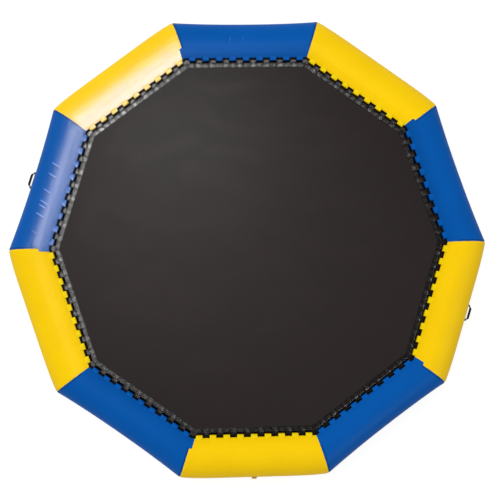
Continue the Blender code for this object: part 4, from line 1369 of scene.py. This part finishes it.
def add_fill():
    """A soft lamp for the inner sides that face away from the key, and a haze on the mat."""
    fill = add_lamp("inner_fill", "POINT", (0.2, -0.2, 1.35), (-2.0, 0.7, 0.4),
                    gathered("shaded_pieces", SHADED_PIECES), energy=60.0, shadow_soft_size=0.4)
    fill.visible_glossy = False
    fill.visible_camera = False
    target = np.array([-1.55, 1.45, 0.46])
    haze = add_lamp("mat_haze", "AREA", target + (0.9, -1.1, 4.6), target,
                    gathered("hazy_pieces", MAT_PIECES), shape="SQUARE", size=HAZE_SIZE,
                    spread=math.radians(40), color=(0.84, 0.97, 1.0),
                    energy=math.pi * HAZE_SIZE ** 2 * HAZE_RADIANCE)
    haze.visible_diffuse = False


def add_gloss(name, tilt, bearing, radiance, pieces):
    """A panel of light that only shows as gloss, of a radiance, on a group of pieces or on all.

    Its place is target + reach (sin tilt cos bearing, sin tilt sin bearing, cos tilt).
    """
    turn, way = math.radians(tilt), math.radians(bearing)
    away = [math.sin(turn) * math.cos(way), math.sin(turn) * math.sin(way), math.cos(turn)]
    wide, tall = GLOSS_SIZE
    position = np.array(GLOSS_TARGET) + GLOSS_REACH * np.array(away)
    lamp = add_lamp(name, "AREA", position, GLOSS_TARGET, pieces, shape="RECTANGLE", size=wide,
                    size_y=tall, spread=math.radians(50), energy=math.pi * wide * tall * radiance)
    lamp.visible_diffuse = False


def add_sheen():
    """Panels on an arc that give the far left inner side its gloss, and the rest a little of it."""
    groups = (("all", SPARE_GLOSS, None),
              ("skin", 1 - SPARE_GLOSS, gathered("glossy_pieces", GLOSSY_PIECES)),
              ("border", BORDER_GLOSS, gathered("border_piece", ["mat_border_cloth"])))
    for tilt, radiance in GLOSS_PANELS:
        for group, share, pieces in groups:
            add_gloss(f"sheen_{group}_{tilt}", tilt, GLOSS_BEARING, radiance * share, pieces)
    crest = gathered("outer_gloss_piece", ["ring_skin_02"])
    add_gloss("sheen_outer", 12, 144, 12.0, crest)


class RingSkins(bpy.types.Operator):
    """Makes the ten tube skins"""

    bl_idname = "bouncer.ring_skins"
    bl_label = "Ring skins"

    def execute(self, context):
        for panel in range(PANELS):
            make_ring_skin(panel, context.scene.bouncer_sizes)
        return {"FINISHED"}


class LacingStrips(bpy.types.Operator):
    """Makes the coloured strips with their belt loops"""

    bl_idname = "bouncer.lacing_strips"
    bl_label = "Lacing strips"

    def execute(self, context):
        for panel in range(PANELS):
            make_lacing(panel, context.scene.bouncer_sizes)
        return {"FINISHED"}


class RubBandAndRope(bpy.types.Operator):
    """Makes the black band on the inner shoulder and the rope over it"""

    bl_idname = "bouncer.band_and_rope"
    bl_label = "Rub band and rope"

    def execute(self, context):
        make_rub_band()
        make_rope(context.scene.bouncer_sizes)
        return {"FINISHED"}


class MatBorder(bpy.types.Operator):
    """Makes the mat's folded border with its loops"""

    bl_idname = "bouncer.mat_border"
    bl_label = "Mat border"

    def execute(self, context):
        make_mat_border(context.scene.bouncer_sizes)
        return {"FINISHED"}


class Mat(bpy.types.Operator):
    """Makes the mat's ten gores and its centre panel"""

    bl_idname = "bouncer.mat"
    bl_label = "Mat"

    def execute(self, context):
        for panel in range(PANELS):
            make_mat_gore(panel, context.scene.bouncer_sizes)
        make_mat_centre(context.scene.bouncer_sizes)
        return {"FINISHED"}


class GrabHandles(bpy.types.Operator):
    """Makes the two grab handles"""

    bl_idname = "bouncer.grab_handles"
    bl_label = "Grab handles"

    def execute(self, context):
        for side in HANDLE_PANELS:
            make_handle(side, context.scene.bouncer_sizes)
        return {"FINISHED"}


class Anchors(bpy.types.Operator):
    """Makes the mooring rings and their patches"""

    bl_idname = "bouncer.anchors"
    bl_label = "Mooring rings"

    def execute(self, context):
        for panel in ANCHOR_PANELS:
            make_anchor(panel, context.scene.bouncer_sizes)
        return {"FINISHED"}


class Valve(bpy.types.Operator):
    """Makes the inflation valve"""

    bl_idname = "bouncer.valve"
    bl_label = "Valve"

    def execute(self, context):
        make_valve(context.scene.bouncer_sizes)
        return {"FINISHED"}


class Studio(bpy.types.Operator):
    """Makes the floor, the sky, the lamps and the camera"""

    bl_idname = "bouncer.studio"
    bl_label = "Studio"

    def execute(self, context):
        context.scene.view_settings.view_transform = "Standard"
        add_camera()
        add_floor(context.scene.bouncer_colours)
        set_world()
        sun = add_lamp("soft_key", "SUN", (-4.0, 2.2, 8.0), (0.0, 0.0, 0.0), energy=1.55,
                       angle=math.radians(60))
        sun.visible_glossy = False
        add_sheen()
        add_fill()
        return {"FINISHED"}


STEPS = (RingSkins, LacingStrips, RubBandAndRope, MatBorder, Mat, GrabHandles, Anchors, Valve,
         Studio)


class BouncerPanel(bpy.types.Panel):
    """Lists the bouncer's pieces, its sizes and its colours."""

    bl_idname = "VIEW3D_PT_bouncer"
    bl_label = "Water bouncer"
    bl_space_type = "VIEW_3D"
    bl_region_type = "UI"
    bl_category = "Bouncer"

    def draw(self, context):
        for step in STEPS:
            self.layout.operator(step.bl_idname)
        for group in (context.scene.bouncer_sizes, context.scene.bouncer_colours):
            box = self.layout.box()
            for name in type(group).__annotations__:
                box.prop(group, name)


CLASSES = (BouncerSizes, BouncerColours, *STEPS, BouncerPanel)


def register():
    for item in CLASSES:
        bpy.utils.register_class(item)
    bpy.types.Scene.bouncer_sizes = PointerProperty(type=BouncerSizes)
    bpy.types.Scene.bouncer_colours = PointerProperty(type=BouncerColours)


def unregister():
    del bpy.types.Scene.bouncer_colours
    del bpy.types.Scene.bouncer_sizes
    for item in reversed(CLASSES):
        bpy.utils.unregister_class(item)


def main():
    """Makes everything in order."""
    register()
    for step in STEPS:
        getattr(bpy.ops.bouncer, step.bl_idname.split(".")[1])()


if __name__ == "__main__":
    main()
